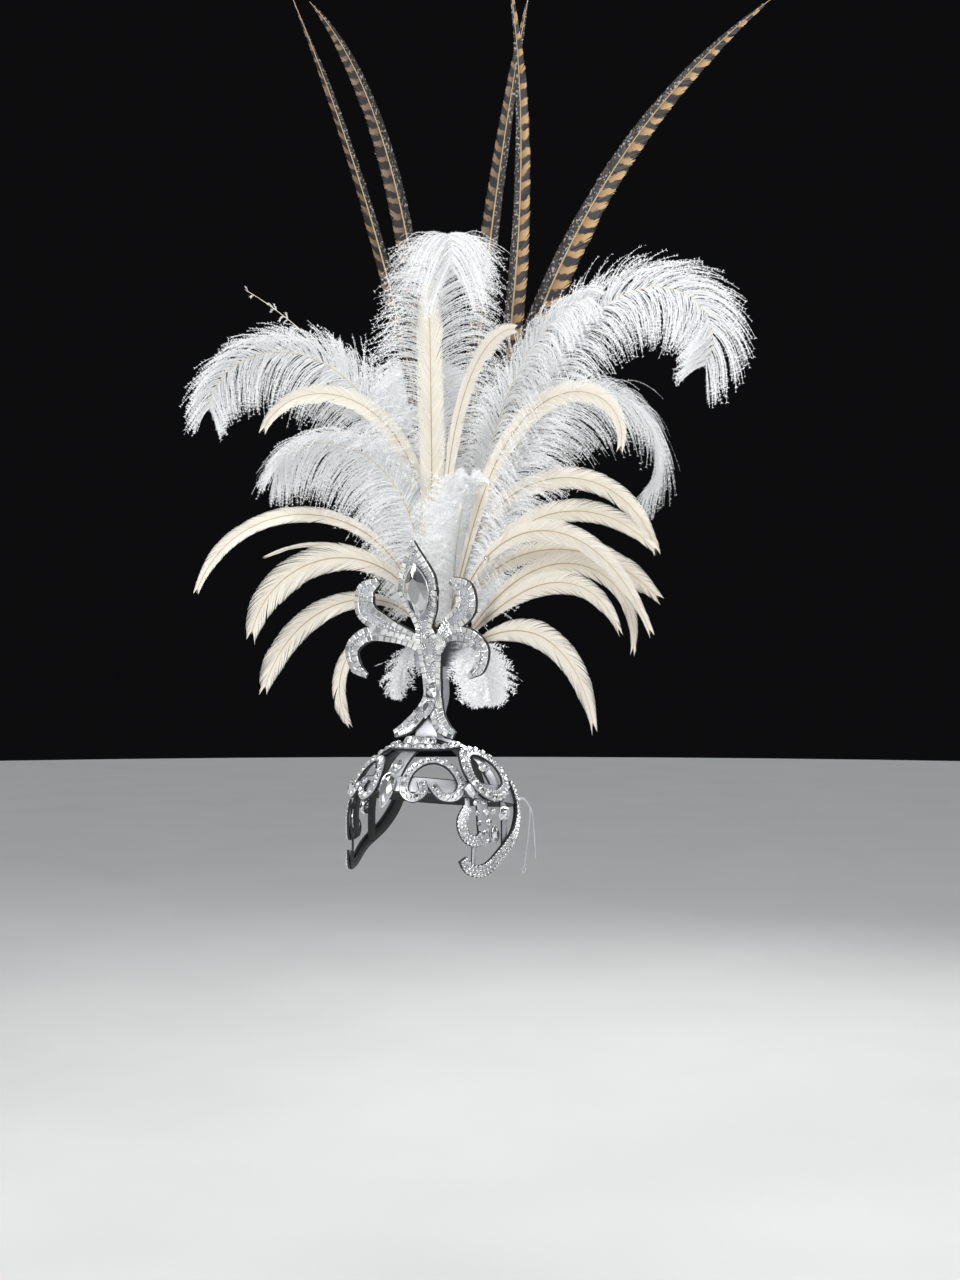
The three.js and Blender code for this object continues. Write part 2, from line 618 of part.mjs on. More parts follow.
function tieCords() {
  const section = new THREE.Shape();
  section.absarc(0, 0, CORD_DIAMETER / 2, 0, 2 * Math.PI);
  for (const { name, route } of CORDS) {
    const extrudePath = new THREE.CatmullRomCurve3(route.map((point) => vec(...point)));
    const steps = Math.round(extrudePath.getLength() / (3 * CORD_DIAMETER));
    const options = { steps, curveSegments: CORD_SIDES / 2, extrudePath };
    place(name, new THREE.ExtrudeGeometry(section, options), FINISH.cord);
  }
}

capCage();
scrolls();
capStones();
fleurPlaque();
baseCluster();
plumePost();
feathers();
tieCords();

export default headdress;
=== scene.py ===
# %% [markdown]
# # A showgirl feather headdress
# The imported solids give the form: an openwork cap, a fleur-de-lis plaque and a fan of feathers. This lesson
# dresses them with what makes the real thing sparkle and flutter: cut stones in settings, foil leatherette
# with black edges, and feathers made barb by barb. Shapes are worked out in millimetres and become metres
# when a mesh is made.

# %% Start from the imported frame
import math

import bpy
import numpy as np
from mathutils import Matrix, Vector


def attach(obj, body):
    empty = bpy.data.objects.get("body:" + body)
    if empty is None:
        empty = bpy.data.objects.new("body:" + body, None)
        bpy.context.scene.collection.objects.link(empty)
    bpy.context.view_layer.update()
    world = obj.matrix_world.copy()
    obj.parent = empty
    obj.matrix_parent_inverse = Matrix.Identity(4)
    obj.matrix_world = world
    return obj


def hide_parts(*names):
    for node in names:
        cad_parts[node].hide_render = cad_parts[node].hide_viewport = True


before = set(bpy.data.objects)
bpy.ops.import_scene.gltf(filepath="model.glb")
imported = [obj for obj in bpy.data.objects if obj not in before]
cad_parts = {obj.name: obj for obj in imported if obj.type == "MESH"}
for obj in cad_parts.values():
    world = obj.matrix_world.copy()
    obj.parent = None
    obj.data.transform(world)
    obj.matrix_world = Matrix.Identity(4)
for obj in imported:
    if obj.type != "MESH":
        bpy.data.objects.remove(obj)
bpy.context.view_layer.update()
MM = 0.001

# %% [markdown]
# ## Camera
# The photograph is taken level with the plaque, from the wearer's front left, with the head turned by a
# quarter of a right angle and a bit. A long lens from two metres away gives one millimetre for each pixel of
# a 960 by 1280 picture, so a place in the picture can be read off as a size.

# %% Camera
YAW = math.radians(29)
CAMERA_AWAY = 2000
PICTURE_TALL = 1280
SENSOR = 36
AIM = {"right": 46, "up": 178}
TO_RIGHT = np.array([math.cos(YAW), math.sin(YAW), 0])
TO_BACK = np.array([-math.sin(YAW), math.cos(YAW), 0])

lens = bpy.data.cameras.new("camera")
lens.sensor_fit = "VERTICAL"
lens.sensor_height = SENSOR
lens.lens = SENSOR * CAMERA_AWAY / PICTURE_TALL
camera = bpy.data.objects.new("camera", lens)
bpy.context.collection.objects.link(camera)
camera.location = (TO_RIGHT * AIM["right"] - TO_BACK * CAMERA_AWAY + np.array([0, 0, AIM["up"]])) * MM
camera.rotation_euler = (math.radians(90), 0, YAW)
bpy.context.scene.camera = camera
print("camera lens", lens.lens, "mm")

# %% [markdown]
# ## A mesh kit
# Every piece is a list of corners and faces that loops work out. A small class gathers blocks of them, each
# with its finish, and makes the mesh in one go. Two values ride along for the finishes: lay says where a
# point lies on a feather, and facet gives each cut face its own painted glint, a random brightness.

# %% Mesh kit
class Piece:
    """Gathers corners and faces, in millimetres, and makes one mesh object that rides on the headdress."""

    def __init__(self):
        self.count = 0
        self.corners = []
        self.lays = []
        self.faces = []
        self.finishes = []
        self.facets = []

    def add(self, corners, faces, finish=0, lay=None, facet=None):
        corners = np.asarray(corners, dtype=float).reshape(-1, 3)
        faces = np.asarray(faces, dtype=int)
        self.faces.append(faces + self.count)
        self.corners.append(corners)
        lay = np.zeros_like(corners) if lay is None else np.asarray(lay, dtype=float)
        self.lays.append(lay.reshape(-1, 3))
        self.finishes.append(np.full(len(faces), finish))
        self.facets.append(np.zeros(len(faces)) if facet is None else np.asarray(facet, dtype=float))
        self.count += len(corners)

    def cover(self, faces, start, finishes):
        """More faces on corners that are already there; start is the number of the first corner."""
        self.faces.append(np.asarray(faces, dtype=int) + start)
        self.finishes.append(np.broadcast_to(finishes, len(faces)))
        self.facets.append(np.zeros(len(faces)))

    def make(self, name, finishes, slot, smooth=True, replaced=()):
        mesh = bpy.data.meshes.new(name)
        corners = np.concatenate(self.corners) * MM
        sizes = np.concatenate([np.full(len(block), block.shape[1]) for block in self.faces])
        loops = np.concatenate([block.ravel() for block in self.faces])
        mesh.vertices.add(len(corners))
        mesh.vertices.foreach_set("co", corners.ravel())
        mesh.loops.add(len(loops))
        mesh.loops.foreach_set("vertex_index", loops)
        mesh.polygons.add(len(sizes))
        mesh.polygons.foreach_set("loop_start", np.concatenate([[0], np.cumsum(sizes)[:-1]]))
        mesh.polygons.foreach_set("material_index", np.concatenate(self.finishes))
        mesh.polygons.foreach_set("use_smooth", np.full(len(sizes), smooth))
        lays = mesh.attributes.new("lay", "FLOAT_VECTOR", "POINT")
        lays.data.foreach_set("vector", np.concatenate(self.lays).ravel())
        facets = mesh.attributes.new("facet", "FLOAT", "FACE")
        facets.data.foreach_set("value", np.concatenate(self.facets))
        for finish in finishes:
            mesh.materials.append(finish)
        mesh.update(calc_edges=True)
        piece = bpy.data.objects.new(name, mesh)
        bpy.context.collection.objects.link(piece)
        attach(piece, "root")
        if replaced:
            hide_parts(*replaced)
        return piece


def grid_faces(rows, columns, close_rows=False, close_columns=False):
    """Four-sided faces of a net of rows by columns of corners."""
    i = np.arange(rows if close_rows else rows - 1)
    j = np.arange(columns if close_columns else columns - 1)
    here, across = np.meshgrid(i, j, indexing="ij")
    after = (here + 1) % rows
    beside = (across + 1) % columns
    near, far = here * columns, after * columns
    corners = [near + across, near + beside, far + beside, far + across]
    return np.stack(corners, axis=-1).reshape(-1, 4)


def unit(vectors):
    return vectors / np.maximum(np.linalg.norm(vectors, axis=-1, keepdims=True), 1e-9)


def fade(widths):
    """A width that changes evenly from each value to the next along a length of 1."""
    places = np.linspace(0, 1, len(widths))
    return lambda t: np.interp(t, places, widths)


# %% [markdown]
# ## Finishes
# A finish is a Principled shader whose colour, roughness and bump come from nodes. Three effects are used by
# several finishes, so each is a node group: mottle breaks up a plain colour the way light leather, felt and
# braid do, barb shade and tone paints shade on each feather barb, darker near the shaft, and gives each barb
# its own tone so the fine ribs show, and facet glint gives each cut face its own painted glint.

# %% Node helpers
def put(tree, kind, inputs=None, **settings):
    """Adds a node; inputs maps a socket to a value or to another node's output."""
    made = tree.nodes.new(kind)
    for key, value in settings.items():
        setattr(made, key, value)
    for socket, value in (inputs or {}).items():
        if isinstance(value, bpy.types.NodeSocket):
            tree.links.new(value, made.inputs[socket])
        else:
            made.inputs[socket].default_value = value
    return made


def new_group(name, inputs, outputs):
    tree = bpy.data.node_groups.new(name, "ShaderNodeTree")
    for label, kind, value in inputs:
        socket = tree.interface.new_socket(label, in_out="INPUT", socket_type=kind)
        socket.default_value = value
    for label, kind in outputs:
        tree.interface.new_socket(label, in_out="OUTPUT", socket_type=kind)
    return tree, tree.nodes.new("NodeGroupInput").outputs, tree.nodes.new("NodeGroupOutput")


def place_group(tree, group, **values):
    made = tree.nodes.new("ShaderNodeGroup")
    made.node_tree = group
    for socket, value in values.items():
        made.inputs[socket].default_value = value
    return made


def mix(tree, share, low, high):
    """A colour between low and high."""
    return put(tree, "ShaderNodeMix", {0: share, 6: low, 7: high}, data_type="RGBA").outputs[2]


def span(tree, value, low, high):
    """A number from 0 to 1 stretched to go from low to high."""
    return put(tree, "ShaderNodeMapRange", {0: value, 3: low, 4: high}).outputs[0]


def mask(tree, value, low, high):
    """A soft step from 0 to 1 where a value passes from low to high."""
    ends = {0: value, 1: low, 2: high}
    return put(tree, "ShaderNodeMapRange", ends, interpolation_type="SMOOTHSTEP").outputs[0]


def attribute(tree, name):
    return put(tree, "ShaderNodeAttribute", attribute_name=name)


def new_finish(name, **sockets):
    material = bpy.data.materials.new(name)
    material.use_nodes = True
    shader = material.node_tree.nodes["Principled BSDF"]
    for socket, value in sockets.items():
        shader.inputs[socket.replace("_", " ")].default_value = value
    return material, material.node_tree, shader


def bump(tree, shader, height, strength, distance):
    made = put(tree, "ShaderNodeBump", {"Height": height, "Strength": strength, "Distance": distance})
    tree.links.new(made.outputs[0], shader.inputs["Normal"])


# %% Shared effects as node groups
COLOR, FLOAT = "NodeSocketColor", "NodeSocketFloat"

MOTTLE, given, result = new_group(
    "mottle",
    [
        ("Dark", COLOR, (0, 0, 0, 1)),
        ("Light", COLOR, (1, 1, 1, 1)),
        ("Scale", FLOAT, 60.0),
        ("Grain", FLOAT, 900.0),
    ],
    [("Color", COLOR), ("Patch", FLOAT), ("Height", FLOAT)],
)
where = put(MOTTLE, "ShaderNodeTexCoord").outputs["Object"]
patchy = {"Vector": where, "Scale": given["Scale"], "Detail": 3.0}
patches = put(MOTTLE, "ShaderNodeTexNoise", patchy).outputs[0]
grains = put(MOTTLE, "ShaderNodeTexVoronoi", {"Vector": where, "Scale": given["Grain"]}).outputs[0]
tint = mix(MOTTLE, patches, given["Dark"], given["Light"])
MOTTLE.links.new(tint, result.inputs["Color"])
MOTTLE.links.new(patches, result.inputs["Patch"])
MOTTLE.links.new(grains, result.inputs["Height"])

BARB_SHADE_AND_TONE, given, result = new_group(
    "barb_shade_and_tone",
    [("Root", COLOR, (0, 0, 0, 1)), ("Tip", COLOR, (1, 1, 1, 1)), ("Spread", FLOAT, 0.2)],
    [("Color", COLOR), ("Shade", FLOAT)],
)
lay = put(BARB_SHADE_AND_TONE, "ShaderNodeSeparateXYZ", {0: attribute(BARB_SHADE_AND_TONE, "lay").outputs["Vector"]}).outputs
outward = put(BARB_SHADE_AND_TONE, "ShaderNodeMath", {0: lay[0]}, operation="ABSOLUTE").outputs[0]
# Painted shade: each barb is darker at the shaft (Root) and lighter towards its tip (Tip).
drawn = mix(BARB_SHADE_AND_TONE, outward, given["Root"], given["Tip"])
uneven = put(BARB_SHADE_AND_TONE, "ShaderNodeMath", {0: lay[2], 1: given["Spread"]}, operation="MULTIPLY").outputs[0]
shade = put(BARB_SHADE_AND_TONE, "ShaderNodeMath", {0: 1.0, 1: uneven}, operation="SUBTRACT").outputs[0]
lit = put(BARB_SHADE_AND_TONE, "ShaderNodeVectorMath", {0: drawn, "Scale": shade}, operation="SCALE").outputs[0]
BARB_SHADE_AND_TONE.links.new(lit, result.inputs["Color"])
BARB_SHADE_AND_TONE.links.new(shade, result.inputs["Shade"])

FACET_GLINT, given, result = new_group(
    "facet_glint",
    [("Deep", COLOR, (0, 0, 0, 1)), ("Bright", COLOR, (1, 1, 1, 1)), ("Rough", FLOAT, 0.1)],
    [("Color", COLOR), ("Roughness", FLOAT)],
)
# Painted glint: the facet's random value picks a colour from Deep to Bright, standing in for its sparkle.
tone = attribute(FACET_GLINT, "facet").outputs["Fac"]
shown = mix(FACET_GLINT, tone, given["Deep"], given["Bright"])
rough = put(FACET_GLINT, "ShaderNodeMath", {0: tone, 1: given["Rough"]}, operation="MULTIPLY").outputs[0]
FACET_GLINT.links.new(shown, result.inputs["Color"])
FACET_GLINT.links.new(rough, result.inputs["Roughness"])
print("node groups:", [group.name for group in bpy.data.node_groups])


# %% Finishes of the cap and plaque
def mottled(name, dark, light, rough, scale=60.0, grain=900.0, dent=0.1, **sockets):
    """A finish broken up by mottle; rough is its lowest and highest roughness."""
    material, tree, shader = new_finish(name, **sockets)
    effect = place_group(tree, MOTTLE, Dark=(*dark, 1), Light=(*light, 1), Scale=scale, Grain=grain)
    tree.links.new(effect.outputs["Color"], shader.inputs["Base Color"])
    tree.links.new(span(tree, effect.outputs["Patch"], *rough), shader.inputs["Roughness"])
    bump(tree, shader, effect.outputs["Height"], dent, 0.0003)
    return material


def faceted(name, deep, bright, rough, **sockets):
    """A cut stone backed with foil: each facet gets its own painted glint, a random brightness from deep to
    bright.
    """
    material, tree, shader = new_finish(name, **sockets)
    effect = place_group(tree, FACET_GLINT, Deep=(*deep, 1), Bright=(*bright, 1), Rough=rough)
    tree.links.new(effect.outputs["Color"], shader.inputs["Base Color"])
    tree.links.new(effect.outputs["Roughness"], shader.inputs["Roughness"])
    return material


SILVER = mottled("silver_leatherette", (0.44, 0.45, 0.48), (0.66, 0.67, 0.7), (0.34, 0.52), Metallic=0.85)
EDGE = mottled("black_edge", (0.006, 0.006, 0.007), (0.03, 0.03, 0.032), (0.5, 0.75), dent=0.3)
SETTING = mottled(
    "setting_metal", (0.62, 0.63, 0.65), (0.85, 0.86, 0.88), (0.12, 0.3), grain=2500.0, Metallic=1.0
)
# Deep and bright are the darkest and brightest painted glints that the facets get.
CRYSTAL = faceted("foiled_crystal", (0.2, 0.205, 0.21), (1.0, 1.0, 1.0), 0.2, Metallic=0.82, Coat_Weight=0.5)
CLEAR = faceted(
    "clear_crystal", (0.03, 0.03, 0.035), (0.95, 0.955, 0.97), 0.12, Metallic=0.9, Coat_Weight=0.5
)
MIRROR = faceted("mirror_tile", (0.4, 0.41, 0.42), (1.0, 1.0, 0.98), 0.24, Metallic=0.8)
CORD = mottled(
    "silver_cord", (0.42, 0.43, 0.46), (0.75, 0.76, 0.79), (0.3, 0.5), scale=800.0, grain=3000.0, Metallic=0.6
)
print("finishes:", len(bpy.data.materials))

# %% [markdown]
# ## Tie cords
# Two thin cords of silver braid leave the back of the brow band above the left ear and hang free. The
# photograph shows both from end to end, so their lengths are read off it. Each is a tube with three lobes
# that turn along it, like laid rope, and the long one ends in a small knot.

# %% Tie cords
CORD_DIAMETER = 2.2
CORD_SIDES = 12
CORD_ROUTES = {
    "tie_cord_long": [(55, 70, 14), (60, 78, 16), (64, 83, 8), (63, 84, -14), (60, 84, -38), (57, 84, -58)],
    "tie_cord_short": [(47, 76, 13), (53, 86, 16), (60, 92, 7), (64, 93, -18), (66, 93, -46)],
}


def smooth_line(points, closed=False, steps=40):
    """A centripetal curve through points, and how far along it each step is, from 0 to 1."""
    points = np.asarray(points, dtype=float)
    count = len(points)
    spans = count if closed else count - 1
    t = np.linspace(0, 1, steps, endpoint=not closed)
    place = t * spans
    index = np.minimum(place.astype(int), spans - 1)
    weight = (place - index)[:, None]
    if closed:
        before, start, end, after = (points[(index + k) % count] for k in (-1, 0, 1, 2))
    else:
        padded = np.concatenate([[2 * points[0] - points[1]], points, [2 * points[-1] - points[-2]]])
        before, start, end, after = (padded[index + k] for k in (0, 1, 2, 3))
    pairs = ((before, start), (start, end), (end, after))
    gap = [np.sqrt(np.linalg.norm(b - a, axis=1, keepdims=True)) for a, b in pairs]
    leave = gap[1] * ((start - before) / gap[0] - (end - before) / (gap[0] + gap[1]) + (end - start) / gap[1])
    arrive = gap[1] * ((end - start) / gap[1] - (after - start) / (gap[1] + gap[2]) + (after - end) / gap[2])
    curve = start + leave * weight
    curve = curve + (3 * end - 3 * start - 2 * leave - arrive) * weight ** 2
    return curve + (2 * start - 2 * end + leave + arrive) * weight ** 3, t


def line_length(line):
    return np.linalg.norm(np.diff(line, axis=0), axis=1).sum()


def frames_along(line, closed=False):
    """Two directions square to a line at each of its points."""
    ahead = unit(np.roll(line, -1, 0) - np.roll(line, 1, 0)) if closed else unit(np.gradient(line, axis=0))
    side = unit(np.cross(ahead, np.array([0.31, 0.87, 0.38])))
    return ahead, side, np.cross(ahead, side)


def add_cord(piece, line, radius, twist, closed=False, finish=0):
    """A laid cord: three lobes that turn by twist degrees for each millimetre."""
    ahead, side, up = frames_along(line, closed)
    far = np.concatenate([[0], np.cumsum(np.linalg.norm(np.diff(line, axis=0), axis=1))])
    turn = np.linspace(0, 2 * np.pi, CORD_SIDES, endpoint=False)
    lobes = 0.86 + 0.14 * np.cos(3 * (turn[None, :] - np.radians(twist) * far[:, None]))
    reach = (radius * lobes)[..., None]
    ring = np.cos(turn)[None, :, None] * side[:, None] + np.sin(turn)[None, :, None] * up[:, None]
    start = piece.count
    piece.add(line[:, None] + reach * ring, grid_faces(len(line), CORD_SIDES, closed, True), finish)
    if not closed:
        ends = np.arange(CORD_SIDES)
        piece.cover([ends[::-1], (len(line) - 1) * CORD_SIDES + ends], start, finish)


def add_knot(centre, size, radius):
    """An overhand knot drawn tight, which is a small trefoil of the same cord."""
    turn = np.linspace(0, 2 * np.pi, 48, endpoint=False)
    across = np.sin(turn) + 2 * np.sin(2 * turn)
    upward = np.cos(turn) - 2 * np.cos(2 * turn)
    loop = [across, -0.75 * np.sin(3 * turn), upward]
    piece = Piece()
    add_cord(piece, np.asarray(centre) + np.stack(loop, axis=1) * size, radius, 40, closed=True)
    return piece


for name, route in CORD_ROUTES.items():
    line, _ = smooth_line(route, steps=40)
    cord_piece = Piece()
    add_cord(cord_piece, line, CORD_DIAMETER / 2, 40)
    cord = cord_piece.make(name + "_braid", [CORD], "cord", replaced=[name])
    if name == "tie_cord_long":
        add_knot(line[-1] + np.array([0, 0, 0.5]), 0.85, 0.95).make("tie_knot", [CORD], "cord")
    print(name, round(line_length(line)), "mm long")

# %% [markdown]
# ## Two surfaces to work on
# Bands, scrolls and stones follow either the dome of the head or the dished plaque. Each surface has three
# functions: a point from its two coordinates, the way out of it there, and the nearest spot to a point beside
# it. A trail is a path drawn on a surface, and everything else is set along trails.

# %% Surfaces
HEAD = np.array([76.0, 95.0, 78.0])


def dome_point(around, up):
    """Around in degrees from the front to the wearer's left, up in degrees above the brow."""
    turn, rise = np.radians(around), np.radians(up)
    flat = np.cos(np.maximum(rise, 0))
    height = np.where(rise > 0, np.sin(rise), rise)
    shares = [flat * np.sin(turn), -flat * np.cos(turn), height]
    return np.stack(shares, axis=-1) * HEAD


def dome_near(points):
    above = np.maximum(points[..., 2], 0)
    size = np.sqrt((points[..., 0] / HEAD[0]) ** 2 + (points[..., 1] / HEAD[1]) ** 2 + (above / HEAD[2]) ** 2)
    spot = points / size[..., None]
    spot[..., 2] = np.where(points[..., 2] > 0, spot[..., 2], points[..., 2])
    raised = np.stack([spot[..., 0], spot[..., 1], np.maximum(spot[..., 2], 0)], axis=-1)
    return spot, unit(raised / HEAD ** 2)


PLAQUE_FOOT = 80.6
STEM_HIGH = np.array([0, 45, 85, 120, 150, 195, 240])
STEM_Y = np.array([-17, 1, -4, -18, -28, -38, -42])
HEAD_LOW = {"high": 60, "y": -31}
HEAD_TOP = {"high": 195, "y": -38}


def smoothstep(value, low, high):
    share = np.clip((value - low) / (high - low), 0, 1)
    return share * share * (3 - 2 * share)


def plaque_point(across, high):
    """Across from the plaque's middle, high above its foot; the waist stands back and the head leans out."""
    index = np.clip(np.searchsorted(STEM_HIGH, high), 1, len(STEM_HIGH) - 1)
    share = smoothstep(high, STEM_HIGH[index - 1], STEM_HIGH[index])
    stem = STEM_Y[index - 1] + (STEM_Y[index] - STEM_Y[index - 1]) * share
    climb = (high - HEAD_LOW["high"]) / (HEAD_TOP["high"] - HEAD_LOW["high"])
    head = HEAD_LOW["y"] + (HEAD_TOP["y"] - HEAD_LOW["y"]) * climb
    wing = smoothstep(np.abs(across), 12, 48) * smoothstep(high, 40, 62)
    return np.stack([across, stem + (head - stem) * wing, PLAQUE_FOOT + high], axis=-1)


def plaque_near(points):
    across, high = points[..., 0], points[..., 2] - PLAQUE_FOOT
    right = plaque_point(across + 1, high) - plaque_point(across - 1, high)
    rise = plaque_point(across, high + 1) - plaque_point(across, high - 1)
    return plaque_point(across, high), unit(np.cross(right, rise))


DOME = {"point": dome_point, "near": dome_near}
PLAQUE = {"point": plaque_point, "near": plaque_near}


class Trail:
    """A path drawn on a surface, in the surface's own two coordinates."""

    def __init__(self, surface, path, steps=60, closed=False):
        flat, self.t = smooth_line(path, closed, steps)
        self.surface = surface
        self.closed = closed
        self.middle = surface["point"](flat[:, 0], flat[:, 1])
        _, normal = surface["near"](self.middle)
        ahead, _, _ = frames_along(self.middle, closed)
        self.side = unit(np.cross(normal, ahead))

    def line(self, offset, lift):
        """The line that runs beside the path by offset and above the surface by lift."""
        offset = np.broadcast_to(offset, self.t.shape)[:, None]
        spot, normal = self.surface["near"](self.middle + self.side * offset)
        return spot + normal * np.broadcast_to(lift, self.t.shape)[:, None]

    def seats(self, offset, lift, pitch):
        """Places a pitch apart along such a line, each with the directions along, across and out."""
        line = self.line(offset, lift)
        if self.closed:
            line = np.concatenate([line, line[:1]])
        far = np.concatenate([[0], np.cumsum(np.linalg.norm(np.diff(line, axis=0), axis=1))])
        count = max(int(far[-1] / pitch), 1)
        spots = (np.arange(count) + 0.5) * far[-1] / count
        pick = lambda values: np.stack([np.interp(spots, far, values[:, k]) for k in range(3)], axis=1)
        points = pick(line)
        along = unit(pick(np.gradient(line, axis=0)))
        _, out = self.surface["near"](points)
        across = unit(np.cross(out, along))
        self.seat_t = np.interp(spots, far, np.append(self.t, 1.0) if self.closed else self.t)
        return points, np.cross(across, out), across, out


print("brow point in mm", dome_point(np.array(0.0), np.array(0.0)).round(1))

# %% [markdown]
# ## Cut stones
# A rhinestone is glass cut with flat facets round a flat table, with foil behind it, set in a thin metal cup.
# The facets have to be real faces: they catch the light one by one as the view turns. A cut has a table, a
# ring of star facets, a ring of kites and a girdle, drawn round one outline: round, oval, pear, navette or
# square.

# %% Stone cutter
SHAPES = {
    "round": lambda turn: (np.cos(turn), np.sin(turn)),
    "navette": lambda turn: (np.sign(np.cos(turn)) * np.abs(np.cos(turn)) ** 1.7, np.sin(turn)),
    "pear": lambda turn: (np.cos(turn) * (0.68 + 0.32 * np.sin(turn)), np.sin(turn)),
    "square": lambda turn: (
        np.cos(turn) / np.maximum(np.abs(np.cos(turn)), np.abs(np.sin(turn))),
        np.sin(turn) / np.maximum(np.abs(np.cos(turn)), np.abs(np.sin(turn))),
    ),
}
GIRDLE = 0.3
CUP_SHARE = 1.1
SMALL_CUP_SIDES = 12
ROW_CUP_SIDES = 8


def outline_ring(shape, turns, scale, high):
    x, y = SHAPES[shape](turns)
    return np.stack([x * scale, y * scale, np.full_like(turns, high)], axis=1)


def cut_stone(shape, sides, table=0.52):
    """Corners of a stone 2 wide, 2 tall and 1 deep, its triangles, and the facet each is part of."""
    step = 2 * np.pi / sides
    main = np.arange(sides) * step
    between = main + step / 2
    girdle_turns = np.arange(2 * sides) * step / 2
    rings = [
        outline_ring(shape, main, table, 1.0),
        outline_ring(shape, between, 0.8, 0.72),
        outline_ring(shape, girdle_turns, 1.0, GIRDLE),
        outline_ring(shape, girdle_turns, 0.85, 0.0),
    ]
    starts = np.cumsum([0] + [len(ring) for ring in rings])
    top, star, girdle, foot = starts[:4]
    faces = []
    facets = []
    for i in range(sides):
        j = (i + 1) % sides
        before = (i - 1) % sides
        here, half, after = girdle + 2 * i, girdle + 2 * i + 1, girdle + (2 * i + 2) % (2 * sides)
        faces += [(top + i, star + i, top + j)]
        faces += [(top + i, star + before, here), (top + i, here, star + i)]
        faces += [(star + i, here, half), (star + i, half, after)]
        facets += [i, sides + i, sides + i, 2 * sides + 2 * i, 2 * sides + 2 * i + 1]
        if 0 < i < sides - 1:
            faces += [(top, top + i, top + j)]
            facets += [4 * sides]
    for k in range(2 * sides):
        after = (k + 1) % (2 * sides)
        faces += [(girdle + k, foot + k, foot + after), (girdle + k, foot + after, girdle + after)]
        facets += [4 * sides + 1 + k] * 2
    return np.concatenate(rings), np.array(faces), np.array(facets)


def cup(shape, sides, rim=CUP_SHARE):
    """The metal cup round such a stone: a wall, a rounded lip and an inner edge."""
    turns = np.arange(sides) * 2 * np.pi / sides
    section = [(rim * 0.92, -0.05), (rim, GIRDLE), (rim * 0.97, GIRDLE + 0.08), (0.93, GIRDLE + 0.04)]
    if sides <= SMALL_CUP_SIDES:
        section = [(rim, -0.05), (rim, GIRDLE + 0.04), (0.93, GIRDLE + 0.04)]
    rings = np.concatenate([outline_ring(shape, turns, scale, high) for scale, high in section])
    return rings, grid_faces(len(section), sides, False, True)


def add_stones(piece, seats, shape, size, sides, rng, crystal=0, setting=1, rim=CUP_SHARE):
    """Sets a stone and its cup at every seat; size is wide, tall and deep."""
    points, along, across, out = seats
    half = np.array([size[0] / 2, size[1] / 2, size[2]])
    stone, facets, ids = cut_stone(shape, sides)
    in_a_row = len(points) > 1
    cups, walls = cup(shape, ROW_CUP_SIDES if in_a_row else 2 * sides, rim)
    for point, x, y, z in zip(points, along, across, out):
        basis = np.stack([x, y, z])
        # Painted glints: each facet gets a random brightness, standing in for the sparkle of its reflections.
        facet_glints = rng.uniform(0, 1, ids.max() + 1) ** 0.7
        piece.add(point + (stone * half) @ basis, facets, crystal, facet=facet_glints[ids])
        piece.add(point + (cups * half) @ basis, walls, setting)
    return len(points)


def seat_at(surface, spot, lift, lean=0.0):
    """One seat on a surface; lean turns its tall side from the upright, in degrees."""
    _, out = surface["near"](surface["point"](*np.array(spot, dtype=float)))
    upright = np.array([0.0, 0.0, 1.0])
    turn = math.radians(lean)
    tilted = upright * math.cos(turn) + np.cross(out, upright) * math.sin(turn)
    right = unit(np.cross(tilted, out))
    point = surface["point"](*np.array(spot, dtype=float)) + out * lift
    return point[None], right[None], np.cross(out, right)[None], out[None]


print("a round stone has", len(cut_stone("round", 8)[1]), "triangles")

# %% [markdown]
# ## Bands
# The cap's straps, the scrolls and the plaque are cut from board covered with silver foil leatherette, and
# their cut edges and backs are black. A band is a section swept along a trail: a crowned face, a narrow black
# rim and a dark back. The rim makes the fine dark line that outlines every scroll.

# %% Bands
RIM_SHARE = 0.86
CROWN_LIFT = 0.25
BAND_THICK = 2.0
OVER_CAP = BAND_THICK + 0.8
SCROLL_THICK = 2.2


def add_band(piece, trail, half, low, top, face=0, edge=1):
    """A band along a trail, from lift low to lift top, half as wide as half says on each side."""
    half = half(trail.t) if callable(half) else np.full(len(trail.t), float(half))
    section = [
        (-1, low), (-1, top - 0.4), (-0.97, top - 0.1), (-RIM_SHARE, top),
        (-0.3, top + CROWN_LIFT), (0.3, top + CROWN_LIFT),
        (RIM_SHARE, top), (0.97, top - 0.1), (1, top - 0.4), (1, low),
    ]
    net = np.stack([trail.line(share * half, lift) for share, lift in section], axis=1)
    steps, columns = net.shape[:2]
    faces = grid_faces(steps, columns, trail.closed, True)
    column = np.tile(np.arange(columns), len(faces) // columns)
    on_face = (column >= 3) & (column <= 5)
    start = piece.count
    piece.add(net, faces[on_face], face)
    piece.cover(faces[~on_face], start, edge)
    if not trail.closed:
        ends = np.arange(columns)
        piece.cover([ends, (steps - 1) * columns + ends[::-1]], start, edge)


def other_side(path):
    return [(-around, up) for around, up in path]


# %% [markdown]
# ## Cap
# The cap is a cage: a brow band that is higher in front, two straps over the crown, and drop bands and a plate
# in front of each ear. It is left open so that hair shows through. The bands are redrawn finer than the
# solids, on the same paths, so that they keep the solids' form.

